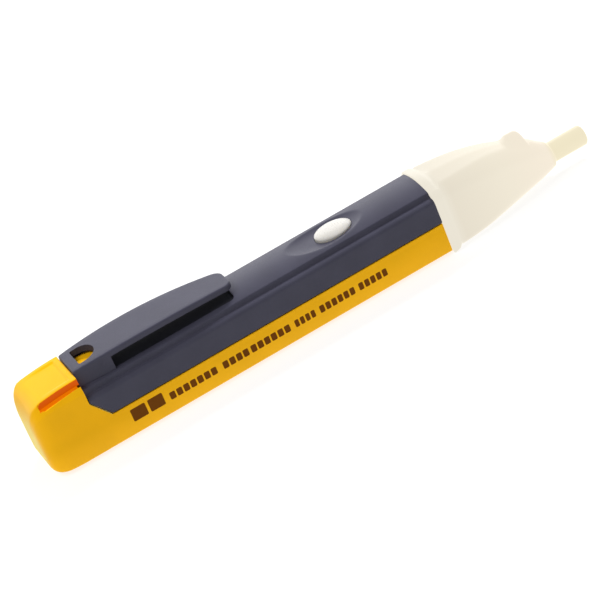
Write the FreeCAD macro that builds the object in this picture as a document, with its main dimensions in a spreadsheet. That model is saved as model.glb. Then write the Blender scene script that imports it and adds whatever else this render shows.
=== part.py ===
import FreeCAD, Part
import Sketcher
import math
import os
import re

# Pen-shaped non-contact voltage tester, in millimetres.
# +X runs from the tail to the sensing tip, +Z to the side with the clip and the button.
# The origin is under the middle of the tester, on the surface that it lies on.
SIZES = {
    # overall
    "tail_end": (-74.9, "crown of the tail's rear face, before it is rounded off by 0.2"),
    "tip_end": (74.7, "foremost point of the sensing tip"),
    "body_half_width": (8.74, "half the width of the casing and the tray"),
    "body_bottom": (0.45, "underside of the tray; the nose collar reaches down to zero"),
    "running_gap": (0.2, "gap along the seam between casing and tray"),
    # upper casing
    "casing_rear": (-60.5, "rear edge of the casing"),
    "casing_front": (31.7, "front edge of the casing, against the nose collar"),
    "casing_wall": (1.6, "side wall thickness"),
    "casing_ceiling": (15.45, "underside of the casing's top wall"),
    "arch_crest": (17.35, "highest line of the arched top"),
    "arch_radius": (22.0, "radius of the arched top"),
    "arch_half_width": (7.3, "half width of the arch, up to the crease"),
    "crease_depth": (0.4, "depth of the crease beside the arch"),
    "shoulder_radius": (0.95, "rounding between crease and side wall"),
    "seam_height": (8.8, "lower edge of the casing's side walls"),
    "kink_height": (14.0, "top of the slanted rear corner of the side wall"),
    "kink_run": (3.9, "length of the slanted rear corner"),
    "groove_low": (11.0, "lower side of the rail groove"),
    "groove_high": (12.3, "upper side of the rail groove"),
    "groove_depth": (0.75, "depth of the rail groove in the side wall"),
    "neck_length": (2.6, "length of the neck that carries the nose"),
    "neck_half_width": (7.3, "half width of the neck"),
    "neck_bottom": (12.7, "lower edge of the neck's sides"),
    "neck_top": (16.05, "top of the neck"),
    "neck_wall": (1.2, "wall thickness of the neck"),
    "latch_bay_front": (-52.4, "front end of the opening above the latch"),
    "latch_bay_half_width": (4.6, "half width of the opening above the latch"),
    # button
    "button_place": (9.03, "place of the button along the casing"),
    "button_half_length": (4.65, "half length of the oval button"),
    "button_half_width": (4.0, "half width of the oval button"),
    "button_rim": (15.9, "height where the button's dome starts"),
    "button_dome": (1.25, "height of the button's dome"),
    "button_gap": (0.15, "gap round the button"),
    "flange_low": (14.95, "underside of the button's retaining flange"),
    "flange_thick": (0.4, "thickness of the retaining flange"),
    "flange_reach": (0.75, "how far the flange reaches beyond the button"),
    "scoop_place": (7.2, "middle of the finger scoop round the button"),
    "scoop_depth": (1.2, "depth of the finger scoop"),
    "scoop_long_radius": (46.0, "curvature of the scoop along the casing"),
    "scoop_cross_radius": (13.2, "curvature of the scoop across the casing"),
    # clip
    "clip_middle": (-44.3, "where the clip is widest and highest"),
    "clip_end": (-18.5, "free end of the clip"),
    "clip_top": (21.67, "highest line of the clip"),
    "clip_thick": (1.5, "thickness of the clip"),
    "clip_arch_radius": (203.0, "lengthwise curvature of the clip"),
    "clip_half_width": (5.95, "half the width at the widest place"),
    "clip_side_radius": (165.0, "curvature of the clip's long sides"),
    "clip_corner": (2.2, "corner radius at the free end"),
    "clip_hinge": (-51.1, "line about which the clip flexes"),
    "hinge_gap": (0.1, "clearance round the flexing roots"),
    "block_front": (-51.2, "front face of the clip's root block"),
    "bridge_low": (19.75, "underside of the bridge over the latch"),
    "hole_flat": (-58.1, "flat side of the D-shaped hole"),
    "hole_half_width": (3.45, "half the width of the D-shaped hole"),
    "hole_straight": (1.6, "length of the D-shaped hole before its round end starts"),
    "hole_radius": (3.455, "radius of the D-shaped hole's round end"),
    # tray and tail
    "tray_front": (31.4, "front end of the tray"),
    "tray_floor": (1.75, "inner floor of the tray"),
    "tray_draft": (0.2, "how much each side leans in towards the bottom"),
    "tray_corner": (1.6, "rounding of the tray's bottom edges"),
    "flange_inner": (5.6, "inner face of the tray's upstanding flanges"),
    "flange_outer": (6.9, "outer face of the tray's upstanding flanges"),
    "flange_top": (12.4, "top of the tray's upstanding flanges"),
    "rail_low": (11.2, "lower side of the rail"),
    "rail_high": (12.1, "upper side of the rail"),
    "rail_reach": (0.7, "how far the rail stands out of the flange"),
    "tail_top_front": (20.25, "top of the tail at the seam"),
    "tail_top_rear": (19.3, "top of the tail at its rear end"),
    "tail_shoulder": (17.0, "height where the tail's side turns inwards"),
    "tail_top_half_width": (7.2, "half width of the tail's top"),
    "tail_wall": (2.8, "thickness of the tail's rear wall"),
    "tail_bulge": (1.2, "how far the rear face bulges beyond its upper edge and its sides"),
    "tail_bulge_low": (0.6, "how far the rear face bulges beyond its lower edge"),
    "tail_end_radius": (29.5, "curvature of the rear face, seen from the side and from above"),
    "tail_apex": (0.25, "how far the rear face's flanks would meet beyond its crown"),
    "tail_waist": (9.0, "height of the rear face's crown"),
    "tail_top_corner": (4.6, "rounding between the rear face and the tail's top"),
    "tail_heel": (8.0, "how far from the tail's end its underside starts to rise"),
    "tail_bottom_rise": (0.9, "how far the tail's underside rises towards its end"),
    "tail_corner": (2.8, "rounding between the rear face and the tail's underside"),
    "tail_side_corner": (4.6, "rounding between the rear face and the tail's sides"),
    "deck_low": (14.7, "underside of the deck under the latch"),
    "deck_top": (16.2, "top of the deck under the latch"),
    "slot_lip": (17.9, "top of the side walls beside the latch, at the latch's root"),
    "slot_lip_front": (18.9, "top of the side walls beside the latch, at the seam"),
    "slot_wall": (0.75, "thickness of the side walls beside the latch"),
    # latch
    "latch_hinge": (-70.5, "line about which the latch flexes"),
    "latch_thick": (1.8, "thickness of the latch's thumb pad"),
    "latch_half_width": (6.8, "half width of the thumb pad"),
    "latch_nose_half_width": (4.1, "half width of the part under the bridge"),
    "latch_nose_end": (-52.8, "free end of the latch"),
    "latch_nose_top": (19.5, "top of the part under the bridge"),
    "latch_nose_low": (18.2, "underside of the part under the bridge"),
    "pad_margin": (1.5, "rim round the hollow of the thumb pad"),
    "pad_depth": (0.25, "depth of the hollow of the thumb pad"),
    # nose
    "collar_front": (34.5, "front edge of the collar"),
    "collar_peak": (18.35, "height where the slopes of the collar's top would meet"),
    "collar_crest_radius": (22.0, "rounding of the collar's top over its middle"),
    "collar_edge": (16.2, "height of the collar's upper corners, before they are rounded"),
    "collar_proud_side": (0.4, "how far the collar stands out at the sides"),
    "collar_shoulder": (1.7, "rounding of the collar's upper corners"),
    "nose_wall": (1.3, "wall thickness of the nose"),
    "nose_bore_half_width": (7.45, "half width of the collar's opening"),
    "nose_bore_top": (16.2, "top of the collar's opening"),
    "nose_bore_low": (1.75, "bottom of the collar's opening"),
    "tip_height": (5.4, "height of the tip's centre line"),
    "tip_radius": (2.56, "radius of the sensing tip"),
    "tip_rear": (64.1, "where the tip starts inside the nose"),
    "tip_rounding": (0.9, "rounding of the tip's end"),
    "tip_bore": (1.3, "radius of the bore for the antenna"),
    "bump_rear": (55.7, "rear end of the raised bead on the nose"),
    "bump_front": (60.7, "front end of the raised bead on the nose"),
    "bump_top": (15.3, "top of the raised bead"),
    "bump_foot": (11.5, "height from which the raised bead grows"),
    "bump_half_width": (1.6, "half width of the raised bead"),
    # cells and contacts
    "cell_radius": (5.25, "radius of an AAA cell"),
    "cell_length": (44.5, "length of an AAA cell with its terminal"),
    "cell_rear": (-66.8, "rear end of the rear cell"),
    "cell_height": (7.1, "height of the cells' centre line"),
    "terminal_radius": (1.9, "radius of a cell's positive terminal"),
    "terminal_length": (1.0, "length of a cell's positive terminal"),
    "washer_thick": (0.3, "thickness of the insulating washer"),
    "strip_low": (10.3, "lower edge of the return strip along the tray's flange"),
    "contact_thick": (0.4, "thickness of the contact sheet metal"),
    "spring_wire": (0.35, "radius of the contact spring's wire"),
    "spring_radius": (3.2, "radius of the contact spring"),
    "spring_pitch": (1.15, "pitch of the contact spring"),
    # circuit board and its components
    "board_low": (12.7, "underside of the circuit board"),
    "board_thick": (0.8, "thickness of the circuit board"),
    "board_rear": (-11.3, "rear end of the circuit board"),
    "board_step": (30.3, "where the circuit board becomes narrower"),
    "board_front": (48.7, "front end of the circuit board"),
    "board_half_width": (6.6, "half width of the circuit board"),
    "board_front_half_width": (4.3, "half width of its front part"),
    "screw_front": (27.7, "place of the board's front screws"),
    "screw_radius": (0.7, "radius of the board's screws"),
    "screw_head_radius": (1.1, "radius of their heads"),
    "screw_head_tall": (0.8, "height of their heads"),
    "boss_radius": (1.4, "radius of the screw bosses under the casing's top wall"),
    "switch_side": (4.6, "side of the square switch housing"),
    "switch_tall": (1.0, "height of the switch housing"),
    "well_radius": (1.35, "radius of the switch's well"),
    "well_floor": (13.9, "floor of the switch's well"),
    "plunger_radius": (1.1, "radius of the switch's plunger"),
    "plunger_low": (14.45, "underside of the switch's plunger"),
    "chip_place": (22.7, "middle of the detector chip"),
    "chip_length": (8.6, "length of the detector chip"),
    "chip_half_width": (1.95, "half width of the detector chip"),
    "lead_pitch": (1.27, "spacing of the chip's leads"),
    "buzzer_place": (40.2, "middle of the buzzer"),
    "buzzer_radius": (4.4, "radius of the buzzer"),
    "buzzer_tall": (3.6, "height of the buzzer"),
    "antenna_rear": (45.5, "rear face of the antenna strip, at the board"),
    "lamp_radius": (1.5, "radius of the indicator lamp"),
    "lamp_rear": (51.2, "rear face of the indicator lamp"),
    "lamp_length": (4.6, "length of the indicator lamp"),
    "lamp_height": (10.4, "height of the indicator lamp's centre"),
}

# Stations of the nose from the collar to the tip: place, half width, bottom, top,
# lower corner radius, upper corner radius.
NOSE_STATIONS = [
    (34.3, 8.55, 0.45, 17.0, 1.7, 2.7),
    (45.7, 7.75, 0.6, 16.5, 2.8, 4.5),
    (57.7, 5.3, 1.2, 13.2, 3.2, 4.3),
    (65.1, 2.9, 2.6, 8.95, 2.5, 2.7),
]
SCREW_PLACES = [
    (along, across) for along in ("board_rear + 2.5", "screw_front") for across in ("-4.3", "4.3")
]

STATION_SIZES = ("place", "half_width", "bottom", "top", "lower_corner", "upper_corner")
for index, station in enumerate(NOSE_STATIONS, 1):
    for name, amount in zip(STATION_SIZES, station):
        SIZES[f"nose_{name}_{index}"] = (amount, f"nose station {index}: {name}")

HALF_ROUND = "half round"
UP = FreeCAD.Vector(0, 0, 1)
FORWARD = FreeCAD.Vector(1, 0, 0)

doc = FreeCAD.newDocument("VoltageTester")
sheet = doc.addObject("Spreadsheet::Sheet", "Sizes")
for row, (alias, (amount, note)) in enumerate(SIZES.items(), 1):
    sheet.set(f"A{row}", note)
    sheet.set(f"B{row}", str(amount))
    sheet.setAlias(f"B{row}", alias)
doc.recompute()


def size(text):
    """The value in millimetres of an expression written with the sheet's names."""
    return float(sheet.evalExpression(text))


def bind(target, prop, text):
    """Tie a property to an expression written with the sheet's names."""
    full = re.sub(r"[a-z]\w*", lambda word: f"Sizes.{word[0]}" if word[0] in SIZES else word[0], text)
    target.setExpression(prop, full)


def bind_place(target, place):
    for axis, text in zip("xyz", place):
        bind(target, f"Placement.Base.{axis}", text)


# ---------------------------------------------------------------- sketches and features

def new_body(name):
    body = doc.addObject("PartDesign::Body", name)
    body.Label = name
    return body


def new_sketch(body, name, role, offset="0"):
    """A sketch on one of the body's origin planes, moved along that plane's normal."""
    sketch = body.newObject("Sketcher::SketchObject", name)
    plane = next(item for item in body.Origin.OriginFeatures if item.Role == role)
    sketch.AttachmentSupport = [(plane, "")]
    sketch.MapMode = "FlatFace"
    bind(sketch, "AttachmentOffset.Base.z", offset)
    return sketch


def constrain(sketch, text, kind, *references):
    index = sketch.addConstraint(Sketcher.Constraint(kind, *references, size(text)))
    bind(sketch, f"Constraints[{index}]", text)


def pin(sketch, geometry, point, corner):
    """Fix a sketch point at a corner given by two expressions."""
    constrain(sketch, corner[0], "DistanceX", -1, 1, geometry, point)
    constrain(sketch, corner[1], "DistanceY", -1, 1, geometry, point)


def bulged(start, finish, radius):
    """An arc that bulges to the right of the way from start to finish."""
    chord = finish - start
    right = FreeCAD.Vector(chord.y, -chord.x, 0).normalize()
    height = abs(radius) - math.sqrt(max(radius ** 2 - (chord.Length / 2) ** 2, 0))
    middle = (start + finish) / 2 + right * math.copysign(height, radius)
    return Part.Arc(start, middle, finish)


def ends_of(sketch, geometry, start):
    """Which end of the geometry lies at start, and which is the other one."""
    return (1, 2) if sketch.getPoint(geometry, 1).isEqual(start, 1e-5) else (2, 1)


def draw_loop(sketch, corners, bulges=None):
    """A closed outline, counter-clockwise. A corner is (across, up) or (across, up, rounding).

    bulges maps the number of a side to the radius of the arc that replaces it, or to
    HALF_ROUND for a half circle.
    """
    bulges = bulges or {}
    count = len(corners)
    points = [FreeCAD.Vector(size(corner[0]), size(corner[1]), 0) for corner in corners]
    arrive, leave = [], []
    for index, corner in enumerate(corners):
        back = (points[index - 1] - points[index]).normalize()
        ahead = (points[(index + 1) % count] - points[index]).normalize()
        trim = size(corner[2]) / math.tan(back.getAngle(ahead) / 2) if len(corner) > 2 else 0.0
        arrive.append(points[index] + back * trim)
        leave.append(points[index] + ahead * trim)

    sides = []
    for index in range(count):
        start, finish = leave[index], arrive[(index + 1) % count]
        if bulges.get(index) == HALF_ROUND:
            side = sketch.addGeometry(bulged(start, finish, (finish - start).Length / 2))
            sketch.addConstraint(Sketcher.Constraint("Symmetric", side, 1, side, 2, side, 3))
        elif index in bulges:
            side = sketch.addGeometry(bulged(start, finish, size(bulges[index])))
            constrain(sketch, bulges[index].lstrip("-"), "Radius", side)
        else:
            side = sketch.addGeometry(Part.LineSegment(start, finish))
        sides.append((side, *ends_of(sketch, side, start)))

    for index, corner in enumerate(corners):
        before, _, before_end = sides[index - 1]
        after, after_end, _ = sides[index]
        if len(corner) == 2:
            sketch.addConstraint(Sketcher.Constraint("Coincident", before, before_end, after, after_end))
            pin(sketch, after, after_end, corner)
            continue
        round_off(sketch, corner, points[index], arrive[index], leave[index],
                  sides[index - 1], sides[index])


def round_off(sketch, corner, point, start, finish, before, after):
    """The tangent arc of a rounded corner and the construction point that fixes it."""
    back = (start - point).normalize()
    ahead = (finish - point).normalize()
    half = back.getAngle(ahead) / 2
    to_centre = (back + ahead).normalize()
    radius = size(corner[2])
    middle = point + to_centre * (radius / math.sin(half) - radius)
    arc = sketch.addGeometry(Part.Arc(start, middle, finish))
    mark = sketch.addGeometry(Part.Point(point), True)
    arc_start, arc_end = ends_of(sketch, arc, start)
    sketch.addConstraint(Sketcher.Constraint("PointOnObject", mark, 1, before[0]))
    sketch.addConstraint(Sketcher.Constraint("PointOnObject", mark, 1, after[0]))
    sketch.addConstraint(Sketcher.Constraint("Tangent", before[0], before[2], arc, arc_start))
    sketch.addConstraint(Sketcher.Constraint("Tangent", after[0], after[1], arc, arc_end))
    pin(sketch, mark, 1, corner)
    constrain(sketch, corner[2], "Radius", arc)


def draw_circle(sketch, centre, radius):
    middle = FreeCAD.Vector(size(centre[0]), size(centre[1]), 0)
    ring = sketch.addGeometry(Part.Circle(middle, UP, size(radius)))
    pin(sketch, ring, 3, centre)
    constrain(sketch, radius, "Radius", ring)


def mirrored(corners):
    """The right half of an outline, from bottom to top, completed with its left half."""
    left = [(f"-({corner[0]})", *corner[1:]) for corner in reversed(corners)]
    return corners + left


def rectangle(left, bottom, right, top):
    return [(left, bottom), (right, bottom), (right, top), (left, top)]


def extrude(body, kind, sketch, length, midplane=False, backwards=False):
    """A Pad or a Pocket of the sketch."""
    feature = body.newObject(f"PartDesign::{kind}", f"{sketch.Name}_{kind.lower()}")
    feature.Profile = sketch
    feature.Midplane = midplane
    feature.Reversed = backwards
    bind(feature, "Length", length)
    sketch.Visibility = False
    doc.recompute()
    return feature


def cut_volume(body, kind, sketch, length, **options):
    """A Pocket that must take something away."""
    before = body.Shape.Volume
    extrude(body, kind, sketch, length, **options)
    if body.Shape.Volume > before - 1e-3:
        raise RuntimeError(f"{sketch.Name} cuts nothing")


def pad(body, sketch, length, **options):
    extrude(body, "Pad", sketch, length, **options)


def pocket(body, sketch, length, **options):
    cut_volume(body, "Pocket", sketch, length, **options)


# ---------------------------------------------------------------- primitives and booleans

def new_box(name, corner, lengths):
    box = doc.addObject("Part::Box", name)
    for prop, text in zip(("Length", "Width", "Height"), lengths):
        bind(box, prop, text)
    bind_place(box, corner)
    return box


def new_cylinder(name, base, radius, length, axis=UP):
    cylinder = doc.addObject("Part::Cylinder", name)
    cylinder.Placement.Rotation = FreeCAD.Rotation(UP, axis)
    bind(cylinder, "Radius", radius)
    bind(cylinder, "Height", length)
    bind_place(cylinder, base)
    return cylinder


def new_oval(name, centre, half_length, half_width, length):
    """An upright prism with an elliptical outline, its long axis along X."""
    ellipse = doc.addObject("Part::Ellipse", f"{name}_outline")
    bind(ellipse, "MajorRadius", half_length)
    bind(ellipse, "MinorRadius", half_width)
    bind_place(ellipse, centre)
    prism = doc.addObject("Part::Extrusion", name)
    prism.Base = ellipse
    prism.DirMode = "Custom"
    prism.Dir = UP
    prism.Solid = True
    bind(prism, "LengthFwd", length)
    return prism


def cut(name, base, tool):
    result = doc.addObject("Part::Cut", name)
    result.Base = base
    result.Tool = tool
    return result


def fuse(name, shapes):
    result = doc.addObject("Part::MultiFuse", name)
    result.Shapes = shapes
    return result


def group(name, shapes):
    """Several equal pieces kept apart as separate solids of one node."""
    result = doc.addObject("Part::Compound", name)
    result.Links = shapes
    return result


# ---------------------------------------------------------------- casing and clip

def crease_floor():
    return "arch_crest - arch_half_width ^ 2 / (2 * arch_radius) - crease_depth"


def casing_profile():
    """The inverted U of the casing with its crease, shoulders and rail grooves."""
    inner = "(body_half_width - casing_wall)"
    return [
        ("body_half_width", "seam_height"),
        ("body_half_width", crease_floor(), "shoulder_radius"),
        ("arch_half_width", crease_floor()),
        ("arch_half_width", f"{crease_floor()} + crease_depth"),
        ("-arch_half_width", f"{crease_floor()} + crease_depth"),
        ("-arch_half_width", crease_floor()),
        ("-body_half_width", crease_floor(), "shoulder_radius"),
        ("-body_half_width", "seam_height"),
        (f"-{inner}", "seam_height"),
        (f"-{inner}", "groove_low"),
        (f"-{inner} - groove_depth", "groove_low"),
        (f"-{inner} - groove_depth", "groove_high"),
        (f"-{inner}", "groove_high"),
        (f"-{inner}", "casing_ceiling", "1"),
        (inner, "casing_ceiling", "1"),
        (inner, "groove_high"),
        (f"{inner} + groove_depth", "groove_high"),
        (f"{inner} + groove_depth", "groove_low"),
        (inner, "groove_low"),
        (inner, "seam_height"),
    ]


def neck_profile():
    """The inverted U of the neck that plugs into the nose."""
    outer = [
        ("neck_half_width", "neck_bottom"),
        ("neck_half_width", "neck_top", "1.5"),
        ("-neck_half_width", "neck_top", "1.5"),
        ("-neck_half_width", "neck_bottom"),
    ]
    inner = [
        ("-neck_half_width + neck_wall", "neck_bottom"),
        ("-neck_half_width + neck_wall", "neck_top - neck_wall", "0.5"),
        ("neck_half_width - neck_wall", "neck_top - neck_wall", "0.5"),
        ("neck_half_width - neck_wall", "neck_bottom"),
    ]
    return outer + inner


def upper_casing():
    body = new_body("casing_body")
    profile = new_sketch(body, "casing_profile", "YZ_Plane", "casing_rear")
    draw_loop(profile, casing_profile(), {3: "arch_radius"})
    pad(body, profile, "casing_front - casing_rear")

    neck = new_sketch(body, "neck_profile", "YZ_Plane", "casing_front - 1")
    draw_loop(neck, neck_profile())
    pad(body, neck, "neck_length + 1")

    for number, (along, across) in enumerate(SCREW_PLACES):
        boss = new_sketch(body, f"screw_boss_{number}", "XY_Plane", "board_low + board_thick")
        draw_circle(boss, (along, across), "boss_radius")
        draw_circle(boss, (along, across), "screw_radius")
        pad(body, boss, "casing_ceiling - board_low - board_thick + 0.2")

    corner = new_sketch(body, "rear_corner", "XZ_Plane")
    draw_loop(corner, [
        ("casing_rear - 1", "seam_height - 1"),
        ("casing_rear + kink_run", "seam_height - 1"),
        ("casing_rear + kink_run", "seam_height"),
        ("casing_rear", "kink_height"),
        ("casing_rear - 1", "kink_height"),
    ])
    pocket(body, corner, "4 * body_half_width", midplane=True)

    bay = new_sketch(body, "latch_bay", "XY_Plane", "arch_crest + 1")
    draw_loop(bay, rectangle("casing_rear - 1", "-latch_bay_half_width",
                             "latch_bay_front", "latch_bay_half_width"))
    pocket(body, bay, "arch_crest - casing_ceiling + 2")

    opening = new_oval("button_opening", ("button_place", "0", "casing_ceiling - 1"),
                       "button_half_length + button_gap", "button_half_width + button_gap", "5")
    scoop = doc.addObject("Part::Torus", "finger_scoop")
    scoop.Placement.Rotation = FreeCAD.Rotation(FORWARD, 90)
    bind(scoop, "Radius1", "scoop_long_radius - scoop_cross_radius")
    bind(scoop, "Radius2", "scoop_cross_radius")
    bind_place(scoop, ("scoop_place", "0", "arch_crest - scoop_depth + scoop_long_radius"))
    return cut("upper_casing", body, fuse("button_cutters", [opening, scoop]))


def clip_surface(place, drop="0"):
    """Height of the clip's arched top, or of a face that lies lower by drop, at a place."""
    return f"clip_top - {drop} - ({place} - clip_middle) ^ 2 / (2 * clip_arch_radius)"


def trim_to_clip_outline(body, name, rear):
    """Cut away all that lies outside the clip's bowed long sides and rounded end."""
    def half_width(place):
        return f"(clip_half_width - ({place} - clip_middle) ^ 2 / (2 * clip_side_radius))"
    sketch = new_sketch(body, name, "XY_Plane", "clip_top + 2")
    draw_loop(sketch, rectangle(f"{rear} - 5", "-15", "clip_end + 5", "15"))
    draw_loop(sketch, [
        (rear, f"-{half_width(rear)}"),
        ("clip_end - clip_corner", f"-{half_width('(clip_end - clip_corner)')}"),
        ("clip_end", f"-{half_width('(clip_end - clip_corner)')} + clip_corner"),
        ("clip_end", f"{half_width('(clip_end - clip_corner)')} - clip_corner"),
        ("clip_end - clip_corner", half_width("(clip_end - clip_corner)")),
        (rear, half_width(rear)),
    ], {0: "clip_side_radius", 1: "clip_corner", 3: "clip_corner", 4: "clip_side_radius"})
    pocket(body, sketch, "12")


def clip_arm():
    """The sprung arm, with a half-round root on the line about which it flexes."""
    hinge_top = clip_surface("clip_hinge")
    body = new_body("pocket_clip")
    side = new_sketch(body, "arm_side", "XZ_Plane")
    draw_loop(side, [
        ("clip_hinge", f"{hinge_top} - clip_thick"),
        ("clip_end", clip_surface("clip_end", "clip_thick")),
        ("clip_end", clip_surface("clip_end")),
        ("clip_hinge", hinge_top),
    ], {0: "-(clip_arch_radius - clip_thick)", 2: "clip_arch_radius", 3: HALF_ROUND})
    pad(body, side, "20", midplane=True)
    trim_to_clip_outline(body, "arm_outline", "clip_hinge - clip_thick")
    return body


def clip_root_block():
    """The hollow block that carries the clip, bridging the latch, with the D-shaped hole."""
    foot = "arch_crest - clip_half_width ^ 2 / (2 * arch_radius)"
    bay_foot = "arch_crest - latch_bay_half_width ^ 2 / (2 * arch_radius)"
    body = new_body("clip_root_block")
    side = new_sketch(body, "block_side", "XZ_Plane")
    draw_loop(side, [
        ("casing_rear", foot),
        ("block_front", foot),
        ("block_front", clip_surface("block_front")),
        ("casing_rear", clip_surface("casing_rear")),
    ], {2: "clip_arch_radius"})
    pad(body, side, "2 * clip_half_width", midplane=True)
    trim_to_clip_outline(body, "block_outline", "casing_rear - 2")

    seat = new_sketch(body, "arch_seat", "YZ_Plane", "casing_rear - 1")
    draw_loop(seat, [
        ("-clip_half_width - 1", f"{foot} - 1"),
        ("clip_half_width + 1", f"{foot} - 1"),
        ("clip_half_width + 1", "arch_crest + 0.03 - (clip_half_width + 1) ^ 2 / (2 * arch_radius)"),
        ("-clip_half_width - 1", "arch_crest + 0.03 - (clip_half_width + 1) ^ 2 / (2 * arch_radius)"),
    ], {2: "arch_radius"})
    pocket(body, seat, "20", backwards=True)

    tunnel = new_sketch(body, "latch_tunnel", "YZ_Plane", "casing_rear - 1")
    draw_loop(tunnel, rectangle("-latch_bay_half_width + 0.1", "10",
                                "latch_bay_half_width - 0.1", "bridge_low"))
    pocket(body, tunnel, "latch_bay_front - casing_rear + 1", backwards=True)

    hole = new_sketch(body, "d_hole", "XY_Plane", "clip_top + 1")
    draw_loop(hole, [
        ("hole_flat", "-hole_half_width", "0.5"),
        ("hole_flat + hole_straight", "-hole_half_width"),
        ("hole_flat + hole_straight", "hole_half_width"),
        ("hole_flat", "hole_half_width", "0.5"),
    ], {1: "hole_radius"})
    pocket(body, hole, "clip_top + 1 - bridge_low + 0.5")

    socket = new_sketch(body, "hinge_socket", "XZ_Plane")
    draw_circle(socket, ("clip_hinge", f"{clip_surface('clip_hinge')} - clip_thick / 2"),
                "clip_thick / 2 + hinge_gap")
    pocket(body, socket, "20", midplane=True)
    return body


# ---------------------------------------------------------------- tray, tail and latch

def tray_profile():
    """The trough of the tray with its upstanding flanges and their outward rails."""
    edge = "seam_height - running_gap"
    return mirrored([
        ("body_half_width - tray_draft", "body_bottom", "tray_corner"),
        ("body_half_width", edge),
        ("flange_outer", edge),
        ("flange_outer", "rail_low"),
        ("flange_outer + rail_reach", "rail_low"),
        ("flange_outer + rail_reach", "rail_high"),
        ("flange_outer", "rail_high"),
        ("flange_outer", "flange_top"),
        ("flange_inner", "flange_top"),
        ("flange_inner", "tray_floor", "2.5"),
    ])


def tail_profile():
    """The tail seen from behind: flat sides, sloping shoulders and a flat top."""
    return mirrored([
        ("body_half_width - tray_draft", "body_bottom", "tray_corner"),
        ("body_half_width", "tail_shoulder", "0.8"),
        ("tail_top_half_width", "tail_top_front", "0.6"),
    ])


def trim_tail(body):
    """Round the tail off as seen from the side and from above."""
    side = new_sketch(body, "tail_side", "XZ_Plane")
    draw_loop(side, rectangle("tail_end - 5", "-5", "casing_rear + 5", "25"))
    draw_loop(side, [
        ("casing_rear + 1", "body_bottom - 1"),
        ("casing_rear + 1", "tail_top_front"),
        ("casing_rear - running_gap", "tail_top_front"),
        ("tail_end + tail_bulge", "tail_top_rear", "tail_top_corner"),
        ("tail_end - tail_apex", "tail_waist", "tail_end_radius"),
        ("tail_end + tail_bulge_low", "body_bottom + tail_bottom_rise", "tail_corner"),
        ("tail_end + tail_heel", "body_bottom", "8"),
        ("tail_end + tail_heel + 0.5", "body_bottom - 1"),
    ])
    pocket(body, side, "30", midplane=True)
    plan = new_sketch(body, "tail_plan", "XY_Plane", "30")
    draw_loop(plan, rectangle("tail_end - 5", "-15", "casing_rear + 5", "15"))
    draw_loop(plan, [
        ("tail_end + tail_bulge", "-body_half_width - 0.01", "tail_side_corner"),
        ("casing_rear + 1", "-body_half_width - 0.01"),
        ("casing_rear + 1", "body_half_width + 0.01"),
        ("tail_end + tail_bulge", "body_half_width + 0.01", "tail_side_corner"),
        ("tail_end - tail_apex", "0", "tail_end_radius"),
    ])
    pocket(body, plan, "40")


def lower_tray():
    body = new_body("lower_tray")
    seam = "casing_rear - running_gap"
    tail = new_sketch(body, "tail_profile", "YZ_Plane", "tail_end - 1")
    draw_loop(tail, tail_profile())
    pad(body, tail, f"{seam} - tail_end + 1")
    trim_tail(body)

    bay = new_sketch(body, "latch_space", "XZ_Plane")
    draw_loop(bay, rectangle("latch_hinge", "deck_top", "casing_rear + 5", "25"))
    pocket(body, bay, "2 * (body_half_width - slot_wall)", midplane=True)
    lips = new_sketch(body, "slot_lips", "XZ_Plane")
    draw_loop(lips, [
        ("latch_hinge - latch_thick / 2", "slot_lip"),
        ("casing_rear + 1", "slot_lip_front"),
        ("casing_rear + 1", "25"),
        ("latch_hinge - latch_thick / 2", "25"),
    ])
    pocket(body, lips, "30", midplane=True)
    socket = new_sketch(body, "latch_socket", "XZ_Plane")
    draw_circle(socket, ("latch_hinge", latch_axis_height()), "latch_thick / 2 + hinge_gap")
    pocket(body, socket, "30", midplane=True)

    hollow = new_sketch(body, "cell_space", "YZ_Plane", "tail_end + tail_wall")
    draw_loop(hollow, mirrored([
        ("flange_inner", "tray_floor", "2.5"),
        ("flange_inner", "deck_low - 0.5", "1"),
    ]))
    pocket(body, hollow, "20", backwards=True)

    trough = new_sketch(body, "tray_profile", "YZ_Plane", f"{seam} - 0.5")
    draw_loop(trough, tray_profile())
    pad(body, trough, f"tray_front - ({seam}) + 0.5")

    for side, sign in (("left", ""), ("right", "-")):
        gusset = new_sketch(body, f"gusset_{side}", "XZ_Plane",
                            f"{sign}(body_half_width + flange_outer) / 2")
        draw_loop(gusset, [
            (f"{seam} - 0.5", "seam_height - 1"),
            (f"{seam} + kink_run", "seam_height - 1"),
            (f"{seam} + kink_run", "seam_height - running_gap"),
            (seam, "kink_height - running_gap"),
            (f"{seam} - 0.5", "kink_height - running_gap"),
        ])
        pad(body, gusset, "body_half_width - flange_outer", midplane=True)
    return body


def latch_axis_height():
    """The latch flexes about a line half its thickness below the tail's sloping top."""
    slope = "(tail_top_front - tail_top_rear) / (casing_rear - running_gap - tail_end - tail_bulge)"
    return f"tail_top_rear + (latch_hinge - tail_end - tail_bulge) * {slope} - latch_thick / 2"


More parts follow.
